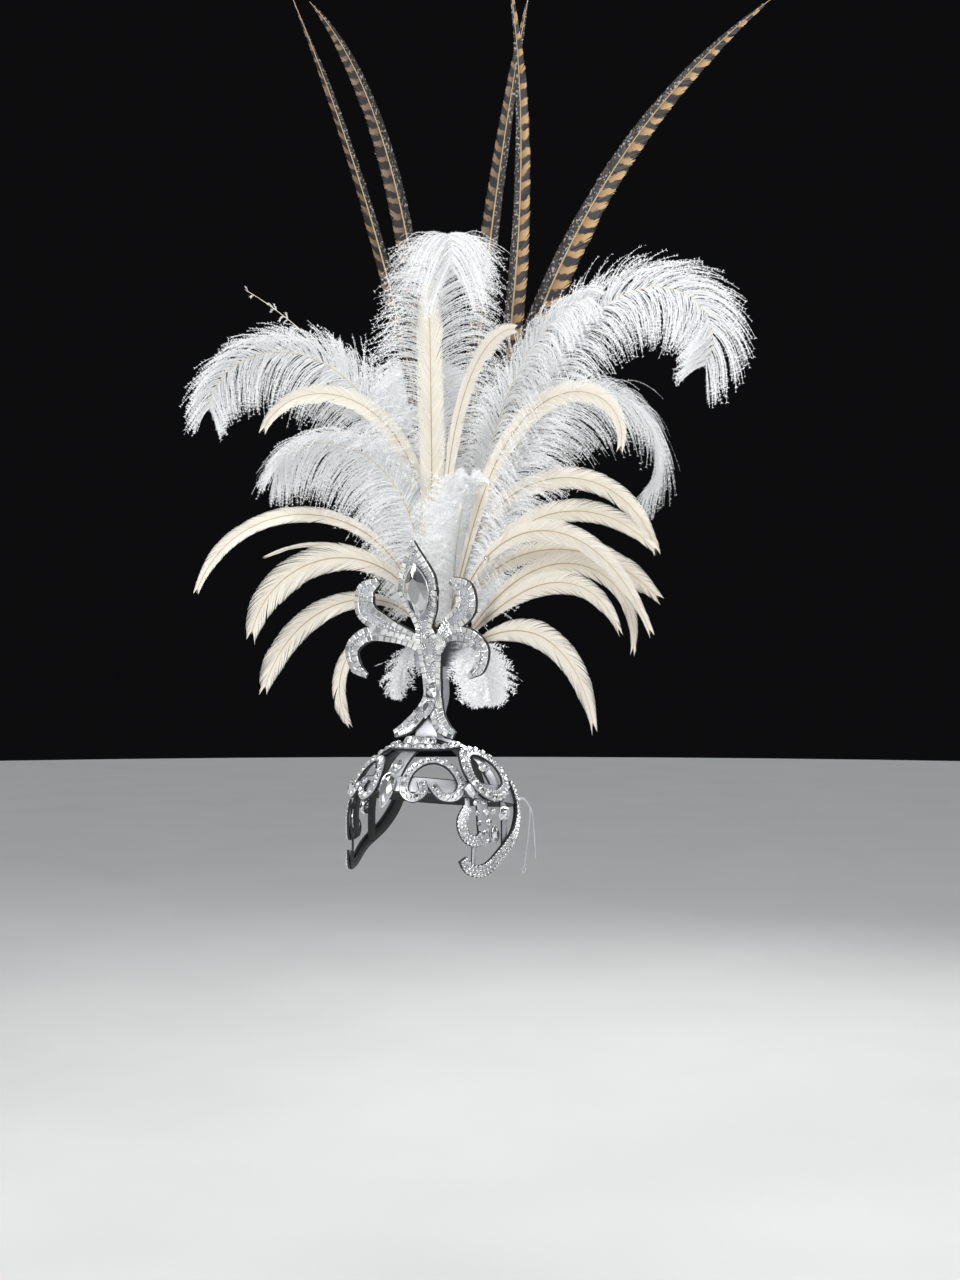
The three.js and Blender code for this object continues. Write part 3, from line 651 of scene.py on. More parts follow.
# %% Cap cage
BROW = {"up": 20, "tilt": 10, "half": 9}
STRAP_HALF = 9
EAR_PATH = [(117, 26), (118, 10), (107, -8), (87, -22), (70, -33), (59, -31), (55, -24)]
TEMPLE_PATH = [(59, 12), (54, 3), (57, -8), (64, -12), (69, -8)]
DROP_BANDS = [
    {"path": EAR_PATH, "half": 4.5},
    {"path": [(60, 20), *TEMPLE_PATH], "half": 3},
    {"path": [(72, 20), (71, 2), (73, -15)], "half": 8},
    {"path": [(93, 16), (93, -2), (93, -20)], "half": 6},
    {"path": [(64, -10), (63.5, -22), (63, -33)], "half": 2.2},
]
INSET = 0.3

cage = Piece()


class BrowTrail(Trail):
    """The brow band's trail, which goes once round the head."""

    def __init__(self, steps=120):
        turn = np.linspace(0, 360, steps, endpoint=False)
        self.t = turn / 360
        self.surface = DOME
        self.closed = True
        self.middle = dome_point(turn, BROW["up"] + BROW["tilt"] * np.cos(np.radians(turn)))
        _, normal = dome_near(self.middle)
        ahead, _, _ = frames_along(self.middle, True)
        self.side = unit(np.cross(normal, ahead))


add_band(cage, BrowTrail(), BROW["half"], 0, BAND_THICK)
add_band(cage, Trail(DOME, [(0, 28), (0, 90), (0, 172)], 60), STRAP_HALF, 0, BAND_THICK - 0.1)
add_band(cage, Trail(DOME, [(90, 20), (90, 90), (90, 160)], 60), STRAP_HALF, 0.1, BAND_THICK - 0.2)
for row in DROP_BANDS:
    for path in (row["path"], other_side(row["path"])):
        add_band(cage, Trail(DOME, path, 40), row["half"], INSET, BAND_THICK - INSET)
cap = cage.make("cap_bands", [SILVER, EDGE], "silver", replaced=["cap_cage"])
print(cap.name, len(cap.data.polygons), "faces")

# %% [markdown]
# ## Scrolls
# The scrolls are narrower boards glued over the cage, and each carries rows of round stones in cups. The
# photograph shows one row of big stones on the front arches and side loops, and two or three rows of small
# ones on the temple and ear scrolls. A row follows its scroll at an offset, so stones sit square to the head.

# %% Scrolls
SCROLLS = {
    "front_scroll": {
        "path": [
            (26, 31), (28, 24), (21, 19), (14, 24), (15, 37), (24, 46),
            (38, 48), (50, 42), (56, 28), (51, 20), (41, 20), (34, 28),
        ],
        "half": 4.4, "closed": False, "rows": [(0, 7.2)],
    },
    "loop_scroll": {
        "path": [(71, 53), (90, 55), (105, 42), (101, 25), (83, 18), (69, 26), (65, 40)],
        "half": 6, "closed": True, "rows": [(1.6, 8), (-4.2, 3.2)],
    },
    "temple_scroll": {
        "path": TEMPLE_PATH, "half": 5.5, "closed": False, "rows": [(3.6, 3.6), (0, 3.6), (-3.6, 3.6)],
    },
    "ear_scroll": {
        "path": EAR_PATH, "half": fade([4.5, 7, 7, 6.5, 6.5, 5.5, 4.5]), "closed": False,
        "rows": [(4.5, 4.4), (0, 4.4), (-4.5, 4.4)],
    },
}
CROWN_PATH = [(-78, 64), (-40, 62), (0, 62), (40, 62), (78, 64)]
SCROLL_TOP = OVER_CAP + SCROLL_THICK
PITCH = 1.08
rng = np.random.default_rng(7)


def make_scroll(name, path, half, closed, rows):
    trail = Trail(DOME, path, 120, closed)
    piece = Piece()
    add_band(piece, trail, half, OVER_CAP, SCROLL_TOP, face=2, edge=3)
    count = 0
    for offset, size in rows:
        room = half(trail.t) if callable(half) else np.full(len(trail.t), float(half))
        beside = np.clip(offset, -room + size / 2, room - size / 2)
        seats = trail.seats(beside, SCROLL_TOP - 0.2, size * PITCH)
        count += add_stones(piece, seats, "round", (size * 0.96, size * 0.96, size * 0.42), 6, rng)
    piece.make(name + "_set", [CRYSTAL, SETTING, SILVER, EDGE], "crystal", smooth=False, replaced=[name])
    return count


stones = 0
for name, row in SCROLLS.items():
    for side, path in (("left", row["path"]), ("right", other_side(row["path"]))):
        rows = row["rows"] if side == "left" else [(-offset, size) for offset, size in row["rows"]]
        stones += make_scroll(f"{name}_{side}", path, row["half"], row["closed"], rows)
stones += make_scroll("crown_row", CROWN_PATH, 4, False, [(0, 7.4)])
print("stones on the scrolls:", stones)

# %% [markdown]
# ## Large stones of the cap
# A pear drop hangs over the brow, and on each side sit a baguette, an oval, a big round stone and a kite.
# They are cut with more facets than the small ones and sit in cups with a round lip.

# %% Large stones
STONE_COLUMNS = ["name", "at", "lift", "lean", "shape", "size", "sides"]


def stone_table(rows):
    return [dict(zip(STONE_COLUMNS, row)) for row in rows]


LARGE_STONES = stone_table([
    ("brow_drop", (0, 24), OVER_CAP, 0, "pear", (20, 36, 8), 8),
    ("baguette_stone", (60.5, 22), SCROLL_TOP + 2.8, 35, "square", (8, 13, 4), 4),
    ("oval_stone", (84, 40), OVER_CAP, 80, "round", (10, 14, 6), 8),
    ("round_stone", (89, 6), OVER_CAP, 0, "round", (15, 15, 7), 10),
    ("kite_stone", (80, -8), OVER_CAP, 10, "navette", (10, 18, 5), 8),
])


def make_large_stone(name, surface, at, lift, lean, shape, size, sides):
    piece = Piece()
    add_stones(piece, seat_at(surface, at, lift, lean), shape, size, sides, rng, rim=1.06)
    piece.make(name + "_cut", [CLEAR, SETTING], "crystal", smooth=False, replaced=[name])


for row in LARGE_STONES:
    around, up = row["at"]
    fixed = {key: row[key] for key in ("lift", "shape", "size", "sides")} | {"surface": DOME}
    if around == 0:
        make_large_stone(row["name"], at=row["at"], lean=row["lean"], **fixed)
        continue
    make_large_stone(row["name"] + "_left", at=(around, up), lean=row["lean"], **fixed)
    make_large_stone(row["name"] + "_right", at=(-around, up), lean=-row["lean"], **fixed)
print("large stones:", len(LARGE_STONES))

# %% Small groups of stones
BROW_OVAL = {"at": (0, 44), "size": (11, 15, 5)}
PLATE_STONES = [
    (66, 15, 6), (72, 15, 6), (78, 17, 6), (67, 8, 6), (73, 8, 7),
    (80, 8, 6), (68, 1, 6), (75, 1, 7), (72, -6, 6), (74, -13, 6),
]

oval = Piece()
add_stones(oval, seat_at(DOME, BROW_OVAL["at"], BAND_THICK + 0.2), "round", BROW_OVAL["size"], 8, rng)
oval.make("brow_oval_cut", [CRYSTAL, SETTING], "crystal", smooth=False)
for side, sign in (("left", 1), ("right", -1)):
    group = Piece()
    for around, up, size in PLATE_STONES:
        seat = seat_at(DOME, (sign * around, up), BAND_THICK)
        add_stones(group, seat, "round", (size, size, size * 0.5), 6, rng)
    group.make(f"temple_plate_{side}_cut", [CRYSTAL, SETTING], "crystal", smooth=False)
print("stones on each temple plate:", len(PLATE_STONES))

# %% [markdown]
# ## Fleur-de-lis plaque
# The plaque is thick board with a silver face and a black edge. Square mirror tiles run along its outlines,
# rows of small round stones fill the middles, and large stones sit on the stem. Its five bands overlap where
# they join, so each lies a hair above the last, and their shared faces don't flicker.

# %% Plaque
PLAQUE_THICK = 3.0
PETAL_HALVES = [12, 10.5, 11, 13, 15, 10, 18, 24, 21, 12, 1.5]
FLEUR_BANDS = [
    {"path": [(4, 38), (9, 24), (19, 11), (34, 3)], "half": fade([7, 8, 8, 4]), "over": 0.0},
    {
        "path": [(8, 88), (30, 99), (55, 103), (74, 89), (70, 70), (58, 62)],
        "half": fade([6, 5, 8, 8, 7, 2]), "over": 0.2,
    },
    {
        "path": [(12, 100), (38, 112), (57, 128), (56, 146), (42, 156)],
        "half": fade([5, 9, 12, 11, 4]), "over": 0.4,
    },
]
TILE = {"wide": 5.3, "long": 5.6, "deep": 1.7, "gap": 0.35, "inset": 0.7}
SMALL_ROWS = [(7.4, 2.6), (10.1, 2.6)]
MIDDLE_STONE = {"size": 3.4, "least": 1.2, "most": 3.4}
BEVEL = 0.8


def add_tiles(piece, seats, wide, finish):
    """Square mirror tiles with bevelled edges, one at every seat."""
    flat = np.array([(-1, -1), (1, -1), (1, 1), (-1, 1)], dtype=float) / 2
    rings = [(1.0, 0.0), (1.0, 0.55), (BEVEL, 1.0)]
    net = np.concatenate([np.column_stack([flat * scale, np.full(4, lift)]) for scale, lift in rings])
    faces = np.concatenate([grid_faces(3, 4, False, True), [[8, 9, 10, 11]]])
    for point, x, y, z, room in zip(*seats, wide):
        corners = net * np.array([TILE["long"], room, TILE["deep"]])
        # Painted glints: each face of a mirror tile gets a random brightness, standing in for its reflections.
        facet_glints = rng.uniform(0, 1, len(faces)) ** 0.6
        piece.add(point + corners @ np.stack([x, y, z]), faces, finish, facet=facet_glints)
    return len(seats[0])


plaque = Piece()
FACE, RIM, TILES, GEMS, CUPS = range(5)


def dress_band(trail, half, top, rows):
    """Tiles along both edges of a band, and rows of round stones at distances from the edge."""
    width = half(trail.t)
    tile_wide = np.minimum(TILE["wide"], 0.85 * width)
    made = [0, 0]
    room = width - tile_wide - TILE["inset"]
    seats = trail.seats(0, top, MIDDLE_STONE["size"] * PITCH)
    left = np.interp(trail.seat_t, trail.t, room)
    kept = [values[(left > MIDDLE_STONE["least"]) & (left < MIDDLE_STONE["most"])] for values in seats]
    size = MIDDLE_STONE["size"]
    made[1] += add_stones(plaque, kept, "round", (size, size, size * 0.5), 6, rng, GEMS, CUPS)
    for sign in (1, -1):
        offset = sign * np.maximum(width - tile_wide / 2 - TILE["inset"], 0)
        seats = trail.seats(offset, top, TILE["long"] + TILE["gap"])
        made[0] += add_tiles(plaque, seats, np.interp(trail.seat_t, trail.t, tile_wide), TILES)
        for inset, size in rows:
            seats = trail.seats(sign * np.maximum(width - inset, 0), top, size * PITCH)
            fits = np.interp(trail.seat_t, trail.t, width) > inset + size * 0.45
            kept = [values[fits] for values in seats]
            made[1] += add_stones(plaque, kept, "round", (size, size, size * 0.5), 6, rng, GEMS, CUPS)
    return made


made = []
for row in FLEUR_BANDS:
    for path in (row["path"], other_side(row["path"])):
        trail = Trail(PLAQUE, path, 90)
        top = PLAQUE_THICK + row["over"]
        add_band(plaque, trail, row["half"], 0.1 + row["over"], top, FACE, RIM)
        made.append(dress_band(trail, row["half"], top + CROWN_LIFT, SMALL_ROWS))
petal = Trail(PLAQUE, [(0, 28), (0, 84), (0, 140), (0, 195)], 120)
PETAL_OVER = 0.7
add_band(plaque, petal, fade(PETAL_HALVES), PETAL_OVER, PLAQUE_THICK + PETAL_OVER, FACE, RIM)
made.append(dress_band(petal, fade(PETAL_HALVES), PLAQUE_THICK + PETAL_OVER + CROWN_LIFT, SMALL_ROWS))
STEM_ROUNDS = [(101.5, 12), (78, 10), (58, 10)]
for high, size in STEM_ROUNDS:
    seat = seat_at(PLAQUE, (0, high), PLAQUE_THICK + PETAL_OVER)
    add_stones(plaque, seat, "round", (size, size, size * 0.45), 8, rng, GEMS, CUPS)
board = [SILVER, EDGE, MIRROR, CRYSTAL, SETTING]
plaque.make("fleur_board", board, "silver", smooth=False, replaced=["fleur_plaque"])
print("plaque: tiles and small stones", np.sum(made, axis=0))

# %% Plaque stones
FLEUR_STONES = stone_table([
    ("fleur_navette", (0, 147), 3, 0, "navette", (28, 52, 6), 8),
    ("fleur_tip_stone", (0, 186), 1.6, 45, "square", (7.5, 7.5, 4), 4),
    ("stem_frame_stone", (0, 45), 2.5, 0, "square", (12, 12, 5), 4),
    ("stem_pear", (0, 25), 3, 0, "pear", (16, 20, 6), 8),
])
for row in FLEUR_STONES:
    fixed = {key: row[key] for key in ("at", "lean", "shape", "size", "sides")}
    make_large_stone(row["name"], PLAQUE, lift=PLAQUE_THICK + row["lift"], **fixed)

cluster = Piece()
for around in (-25, 0, 25):
    seat = seat_at(DOME, (around, 71 if around == 0 else 72), OVER_CAP)
    add_stones(cluster, seat, "round", (14, 14, 6), 10, rng)
cluster.make("base_cluster_cut", [CRYSTAL, SETTING], "crystal", smooth=False, replaced=["base_cluster"])
print("plaque stones:", len(FLEUR_STONES), "and a cluster of three")

# %% [markdown]
# ## Plume post
# Behind the plaque a boxed stem carries the quills in a wider head. It hardly shows from the front. From the
# back it is a plain wrapped block: rounded edges, bound with leatherette tape wound round and round, with a
# black felt pad on top where the quills go in.

# %% Plume post
POST = {"depth": 14, "foot": 80.6, "neck": 150, "head": 189}
POST_NECK = {"gap": 0.8, "halves": fade([14, 11, 9.5, 9.5, 9.5, 11]), "lap": 2}
POST_HEAD = {"front": 4, "back": 46, "half": 27}
TAPE = {"turns": 6, "dent": 0.7, "round": 4.0}


def rounded_box_ring(half_x, low_y, high_y, radius, count=8):
    """One level of a box with round corners, seen from above."""
    ring = []
    for corner, (sx, y, sy) in enumerate(((1, high_y, 1), (-1, high_y, 1), (-1, low_y, -1), (1, low_y, -1))):
        turns = np.radians(90 * corner + np.linspace(0, 90, count))
        centre = np.array([sx * (half_x - radius), y - sy * radius])
        ring.append(centre + radius * np.stack([np.cos(turns), np.sin(turns)], axis=1))
    return np.concatenate(ring)


def add_tower(piece, levels, finish, cap_finish):
    """A closed tower through levels, each with its height and ring."""
    net = np.stack([np.column_stack([ring, np.full(len(ring), high)]) for high, ring in levels])
    rows, columns = net.shape[:2]
    start = piece.count
    piece.add(net, grid_faces(rows, columns, False, True), finish)
    ends = np.arange(columns)
    piece.cover([ends[::-1], (rows - 1) * columns + ends], start, [finish, cap_finish])


post = Piece()
levels = []
tall = POST["neck"] + POST_NECK["lap"] - POST["foot"]
for up in np.linspace(0, 1, 40):
    front = plaque_point(np.array(0.0), np.array(up * tall))[1] + POST_NECK["gap"]
    ring = rounded_box_ring(POST_NECK["halves"](up), front, front + POST["depth"], 2.0)
    levels.append((POST["foot"] + up * tall, ring))
add_tower(post, levels, 0, 1)
levels = []
for share in np.linspace(0, 1, 60):
    wound = TAPE["dent"] * np.abs(np.sin(np.pi * TAPE["turns"] * share)) ** 0.5 - TAPE["dent"]
    ease = 2.0 * max(0, abs(share - 0.5) * 2 - 0.9) / 0.1
    swell = wound - ease
    front, back = POST_HEAD["front"] - swell, POST_HEAD["back"] + swell
    ring = rounded_box_ring(POST_HEAD["half"] + swell, front, back, TAPE["round"])
    levels.append((POST["neck"] + share * (POST["head"] - POST["neck"]), ring))
add_tower(post, levels, 0, 1)
wrapped = post.make("wrapped_post", [SILVER, EDGE], "silver", replaced=["plume_post"])
print(wrapped.name, len(wrapped.data.polygons), "faces")

# %% [markdown]
# ## Feather finishes
# Ostrich and marabou are bleached white, coque is ivory with a brown shaft, and the pheasant tails are tan
# with black bars on the wide side and black and white specks on the narrow side. The bars are worked out from
# lay, which holds how far along the feather and how far across it a point is, so they bend with the feather.

# %% Feather finishes
def feathered(name, root, tip, spread, rough, **sockets):
    material, tree, shader = new_finish(name, **sockets)
    # The darker root colour is painted shade near the shaft; the tip colour is the feather's own white or
    # ivory.
    effect = place_group(tree, BARB_SHADE_AND_TONE, Root=(*root, 1), Tip=(*tip, 1), Spread=spread)
    tree.links.new(effect.outputs["Color"], shader.inputs["Base Color"])
    # Painted glow: the barb colour also feeds Emission, so the feathers give off a faint light of their own
    # that lifts their shade.
    tree.links.new(effect.outputs["Color"], shader.inputs["Emission Color"])
    tree.links.new(span(tree, effect.outputs["Shade"], *rough), shader.inputs["Roughness"])
    return material


# Emission Strength is how strongly each feather finish glows as painted light.
OSTRICH = feathered(
    "white_ostrich", (0.84, 0.85, 0.86), (0.94, 0.945, 0.95), 0.14, (0.9, 0.65), Emission_Strength=0.09
)
MARABOU = feathered(
    "white_marabou", (0.88, 0.885, 0.89), (0.95, 0.955, 0.96), 0.1, (0.95, 0.8), Emission_Strength=0.12
)
COQUE = feathered(
    "ivory_coque", (0.8, 0.74, 0.62), (0.86, 0.82, 0.73), 0.16, (0.7, 0.45), Emission_Strength=0.02
)
STRAW = mottled("pale_quill", (0.66, 0.56, 0.38), (0.82, 0.76, 0.62), (0.35, 0.5), scale=120.0, dent=0.05)
BROWN = mottled("brown_quill", (0.36, 0.25, 0.13), (0.6, 0.47, 0.3), (0.35, 0.5), scale=120.0, dent=0.05)

BARS_PER_METRE = 58.0
BLACK = (0.012, 0.009, 0.008, 1)


def barred(name, inner, outer, fleck):
    """Black bars on the wide side of a tail feather, and flecks on its dark narrow side."""
    material, tree, shader = new_finish(name)
    lay = put(tree, "ShaderNodeSeparateXYZ", {0: attribute(tree, "lay").outputs["Vector"]}).outputs
    place = put(tree, "ShaderNodeTexCoord").outputs["Object"]
    wander = put(tree, "ShaderNodeTexNoise", {"Vector": place, "Scale": 70.0, "Detail": 2.0}).outputs[0]
    count = {0: lay[1], 1: BARS_PER_METRE, 2: wander}
    along = put(tree, "ShaderNodeMath", count, operation="MULTIPLY_ADD").outputs[0]
    wave = put(tree, "ShaderNodeMath", {0: along, 1: 0.5}, operation="PINGPONG").outputs[0]
    bar = mask(tree, wave, 0.2, 0.26)
    across = put(tree, "ShaderNodeMath", {0: lay[0]}, operation="ABSOLUTE").outputs[0]
    wide_side = mix(tree, bar, mix(tree, across, (*inner, 1), (*outer, 1)), BLACK)
    specks = put(tree, "ShaderNodeTexNoise", {"Vector": place, "Scale": 380.0, "Detail": 2.0}).outputs[0]
    speck = mask(tree, specks, 0.55, 0.64)
    narrow_side = mix(tree, speck, BLACK, (*fleck, 1))
    is_wide = put(tree, "ShaderNodeMath", {0: lay[0], 1: 0.0}, operation="GREATER_THAN").outputs[0]
    tree.links.new(mix(tree, is_wide, narrow_side, wide_side), shader.inputs["Base Color"])
    tree.links.new(span(tree, lay[2], 0.45, 0.7), shader.inputs["Roughness"])
    return material


BARRED_TAN = barred("tan_pheasant", (0.25, 0.12, 0.04), (0.58, 0.38, 0.17), (0.34, 0.3, 0.25))
BARRED_GREY = barred("grey_pheasant", (0.1, 0.06, 0.035), (0.27, 0.18, 0.1), (0.3, 0.27, 0.24))
print("feather finishes made")

# %% [markdown]
# ## Feather shafts
# Each feather is one row of a table: where its quill goes in, which way it heads, how steeply it rises, how
# far it bends over and how evenly. The rows are the solids' own, so the dressed feathers lie where the solids
# do. A shaft gives points along the feather with three directions at each: along it, sideways, and to its
# back.

# %% Shafts
ROOT = 190.4
SHAFT_COLUMNS = ["x", "y", "z", "azimuth", "rise", "bend", "ease", "length"]


def feather_table(columns, rows):
    return {name: dict(zip(SHAFT_COLUMNS + columns, values)) for name, values in rows.items()}


class Shaft:
    """The bent line of one feather."""

    def __init__(self, row, steps=240):
        heading = math.radians(row["azimuth"])
        self.row = row
        self.t = np.linspace(0, 1, steps + 1)
        self.side = np.array([-math.sin(heading), math.cos(heading), 0.0])
        middles = (self.t[:-1] + self.t[1:]) / 2
        hops = self.direction(heading, middles) * row["length"] / steps
        root = np.array([row["x"], row["y"], row["z"]], dtype=float)
        self.points = root + np.concatenate([np.zeros((1, 3)), np.cumsum(hops, axis=0)])
        self.along = self.direction(heading, self.t)
        self.back = np.cross(self.along, self.side)

    def direction(self, heading, t):
        rise = np.radians(self.row["rise"] - self.row["bend"] * t ** self.row["ease"])
        level = np.cos(rise)
        return np.stack([level * math.cos(heading), level * math.sin(heading), np.sin(rise)], axis=-1)

    def at(self, t):
        """Point, along and back at any places along the shaft; beyond the tip it runs straight on."""
        pick = lambda values: np.stack([np.interp(t, self.t, values[:, k]) for k in range(3)], axis=-1)
        beyond = np.maximum(t - 1, 0)[..., None] * self.row["length"]
        along = unit(pick(self.along))
        return pick(self.points) + along * beyond, along, unit(pick(self.back))


def add_rachis(piece, shaft, radius, finish, start=0.0, sides=6, steps=60):
    """The quill itself: a tapered rod from root to tip."""
    t = np.linspace(start, 1, steps)
    points, _, back = shaft.at(t)
    turn = np.linspace(0, 2 * np.pi, sides, endpoint=False)
    reach = (radius * (1 - 0.85 * t) + 0.12)[:, None, None]
    ring = np.cos(turn)[None, :, None] * back[:, None] + np.sin(turn)[None, :, None] * shaft.side
    start = piece.count
    piece.add(points[:, None] + reach * ring, grid_faces(steps, sides, False, True), finish)
    ends = np.arange(sides)
    piece.cover([ends[::-1], (steps - 1) * sides + ends], start, finish)


def ribbon_faces(strands, stations):
    """Faces of many strips, each a row of stations two corners wide."""
    one = grid_faces(stations, 2)
    return (one[None] + (np.arange(strands) * stations * 2)[:, None, None]).reshape(-1, 4)


# %% [markdown]
# ## Coque and pheasant: closed vanes
# A tail feather has stiff barbs that lie side by side and make a blade. Drawing every barb as a narrow strip
# keeps what a flat blade loses: fine ribs, a soft edge, and places where the blade splits. Each strip starts
# on the shaft, lands on the outline further on, and overlaps its neighbour. Now and then a group of barbs
# stands away from the next.

# %% Closed vanes
def turned(vectors, axes, degrees):
    """Vectors turned about axes, square to them."""
    angle = math.radians(degrees)
    return vectors * math.cos(angle) + np.cross(axes, vectors) * math.sin(angle)


def add_vane(piece, shaft, side, share, profile, slant, count, split, start, flip, seed, finish=0):
    """One side of a blade; side is 1 or -1, share is its part of the width, split is how often it parts."""
    rng = np.random.default_rng(seed)
    row = shaft.row
    length = row["length"]
    root = np.linspace(start, 0.985, count)
    group = np.cumsum(rng.uniform(size=count) < split)
    stray = rng.normal(0, 1, group.max() + 1)[group]
    lifted = rng.normal(0, 1, group.max() + 1)[group]
    reach = row["width"] * share * profile(root) * (1 + 0.03 * stray)
    land = reach / math.tan(math.radians(slant)) * (1 + 0.06 * stray) / length
    reach = row["width"] * share * profile(np.minimum(root + 0.6 * land, 1)) * (1 + 0.03 * stray)
    reach = reach * rng.uniform(0.93, 1.03, count)
    u = np.linspace(0, 1, 5)
    t = root[:, None] + land[:, None] * u[None] ** 1.3
    points, along, back = shaft.at(t)
    wide = turned(back, along, row["roll"])
    flat = np.cross(along, wide)
    out = (reach[:, None] * u[None])[..., None] * wide * side
    cup_in = (0.1 * reach[:, None] * u[None] ** 2 + 0.5 * lifted[:, None] * u[None])[..., None] * flat
    centre = points + out - cup_in
    thick = 0.75 * length * (1 - start) / count * np.array([1, 1, 1, 0.95, 0.35])
    edge = along * thick[None, :, None]
    net = np.stack([centre - edge, centre + edge], axis=2)
    lay = np.zeros(net.shape)
    lay[..., 0] = (u * (1 if flip else -1) * side)[None, :, None]
    lay[..., 1] = ((root[:, None] + 0.55 * land[:, None] * u[None]) * length * MM)[..., None]
    lay[..., 2] = rng.uniform(size=count)[:, None, None]
    piece.add(net, ribbon_faces(count, len(u)), finish, lay)


PHEASANTS = feather_table(["width", "roll"], {
    "pheasant_1": (-13, 38, ROOT, 186, 90, 24, 0.65, 690, 18, 60),
    "pheasant_2": (-8, 42, ROOT, 161, 84, 43, 2.4, 750, 27, 10),
    "pheasant_3": (6, 44, ROOT, 95, 90, 23, 0.6, 720, 20, 110),
    "pheasant_4": (12, 40, ROOT, 52, 79, -20, 2, 670, 22, -50),
    "pheasant_5": (17, 31, ROOT, 10, 81, 48, 1.6, 700, 29, -10),
})
PHEASANT_PROFILE = fade([0.2, 0.9, 1.05, 1.05, 0.95, 0.8, 0.55, 0.08])
PHEASANT_SPLIT = 0.42
GREY_TAILS = ("pheasant_1", "pheasant_2", "pheasant_3")

for number, (name, row) in enumerate(PHEASANTS.items()):
    shaft = Shaft(row)
    piece = Piece()
    for side, share in ((1, PHEASANT_SPLIT), (-1, 1 - PHEASANT_SPLIT)):
        seed = 100 + 2 * number + side
        add_vane(piece, shaft, side, share, PHEASANT_PROFILE, 42, 420, 0.02, 0.1, False, seed)
    add_rachis(piece, shaft, 1.5, 1)
    tone = BARRED_GREY if name in GREY_TAILS else BARRED_TAN
    piece.make(name + "_tail", [tone, BROWN], "pheasant", replaced=[name])
print("pheasant tails:", len(PHEASANTS))

# %% Coque feathers
COQUES = feather_table(["width", "roll"], {
    "coque_01": (-26, 9, ROOT, 206, 90, 162, 1, 325, 15, 10),
    "coque_02": (-26, 14, ROOT, 190, 90, 113, 0.7, 215, 12, 60),
    "coque_03": (-18, 5, ROOT, 220, 90, 169, 0.85, 245, 26, 0),
    "coque_04": (-24, 6, ROOT, 206, 90, 165, 0.5, 210, 22, 10),
    "coque_05": (-29, 9, 170, 203, 90, 210, 0.55, 156, 14, 20),
    "coque_06": (-12, 11, ROOT, 206, 90, 160, 2.5, 365, 18, 0),
    "coque_07": (-5, 7, ROOT, 290, 87, 6, 4, 350, 25, -80),
    "coque_08": (6, 6, ROOT, 323, 90, 101, 2, 375, 20, 10),
    "coque_09": (10, 9, ROOT, 354, 73, 182, 3.3, 380, 20, 0),
    "coque_10": (16, 13, ROOT, 356, 90, 163, 1.2, 350, 20, 10),
    "coque_11": (19, 9, ROOT, 350, 72, 117, 1.1, 301, 20, 15),
    "coque_12": (25, 10, ROOT, 355, 90, 134, 0.63, 272, 22, 0),
    "coque_13": (22, 5, ROOT, 335, 81, 141, 0.73, 372, 20, 10),
    "coque_14": (28, 6, 176, 338, 31, 94, 2.2, 259, 20, 10),
    "coque_15": (28, 6, 168, 329, 16, 90, 1.8, 278, 25, 0),
    "coque_16": (28, 12, 180, 351, 47, 150, 1.8, 279, 20, 20),
})
COQUE_PROFILE = fade([0.2, 0.4, 0.85, 1.1, 1.15, 1, 0.35])

for number, (name, row) in enumerate(COQUES.items()):
    shaft = Shaft(row)
    piece = Piece()
    for side in (1, -1):
        seed = 200 + 2 * number + side
        add_vane(piece, shaft, side, 0.5, COQUE_PROFILE, 26, 260, 0.04, 0.06, side > 0, seed)
    add_rachis(piece, shaft, 0.6, 1)
    piece.make(name + "_vane", [COQUE, BROWN], "coque", replaced=[name])
print("coque feathers:", len(COQUES))

# %% [markdown]
# ## Ostrich and marabou: loose barbs
# An ostrich barb is long and limp and has a soft fringe of its own, so a plume is a cloud of drooping
# strands. Each barb leaves the shaft to one side, leans to the tip and droops, as the solid's locks do. It is
# a narrow tapered strip with small pointed barbules down both sides, and no two are the same length.

# %% Loose barbs
BARB = {
    "lean": 25, "gain": 25, "shorten": 0.62, "curl": 0.15, "stray": 6, "cup": 0.12, "uneven": (0.78, 1.03),
}
DOWN = {"start": 0.04, "share": 0.6}


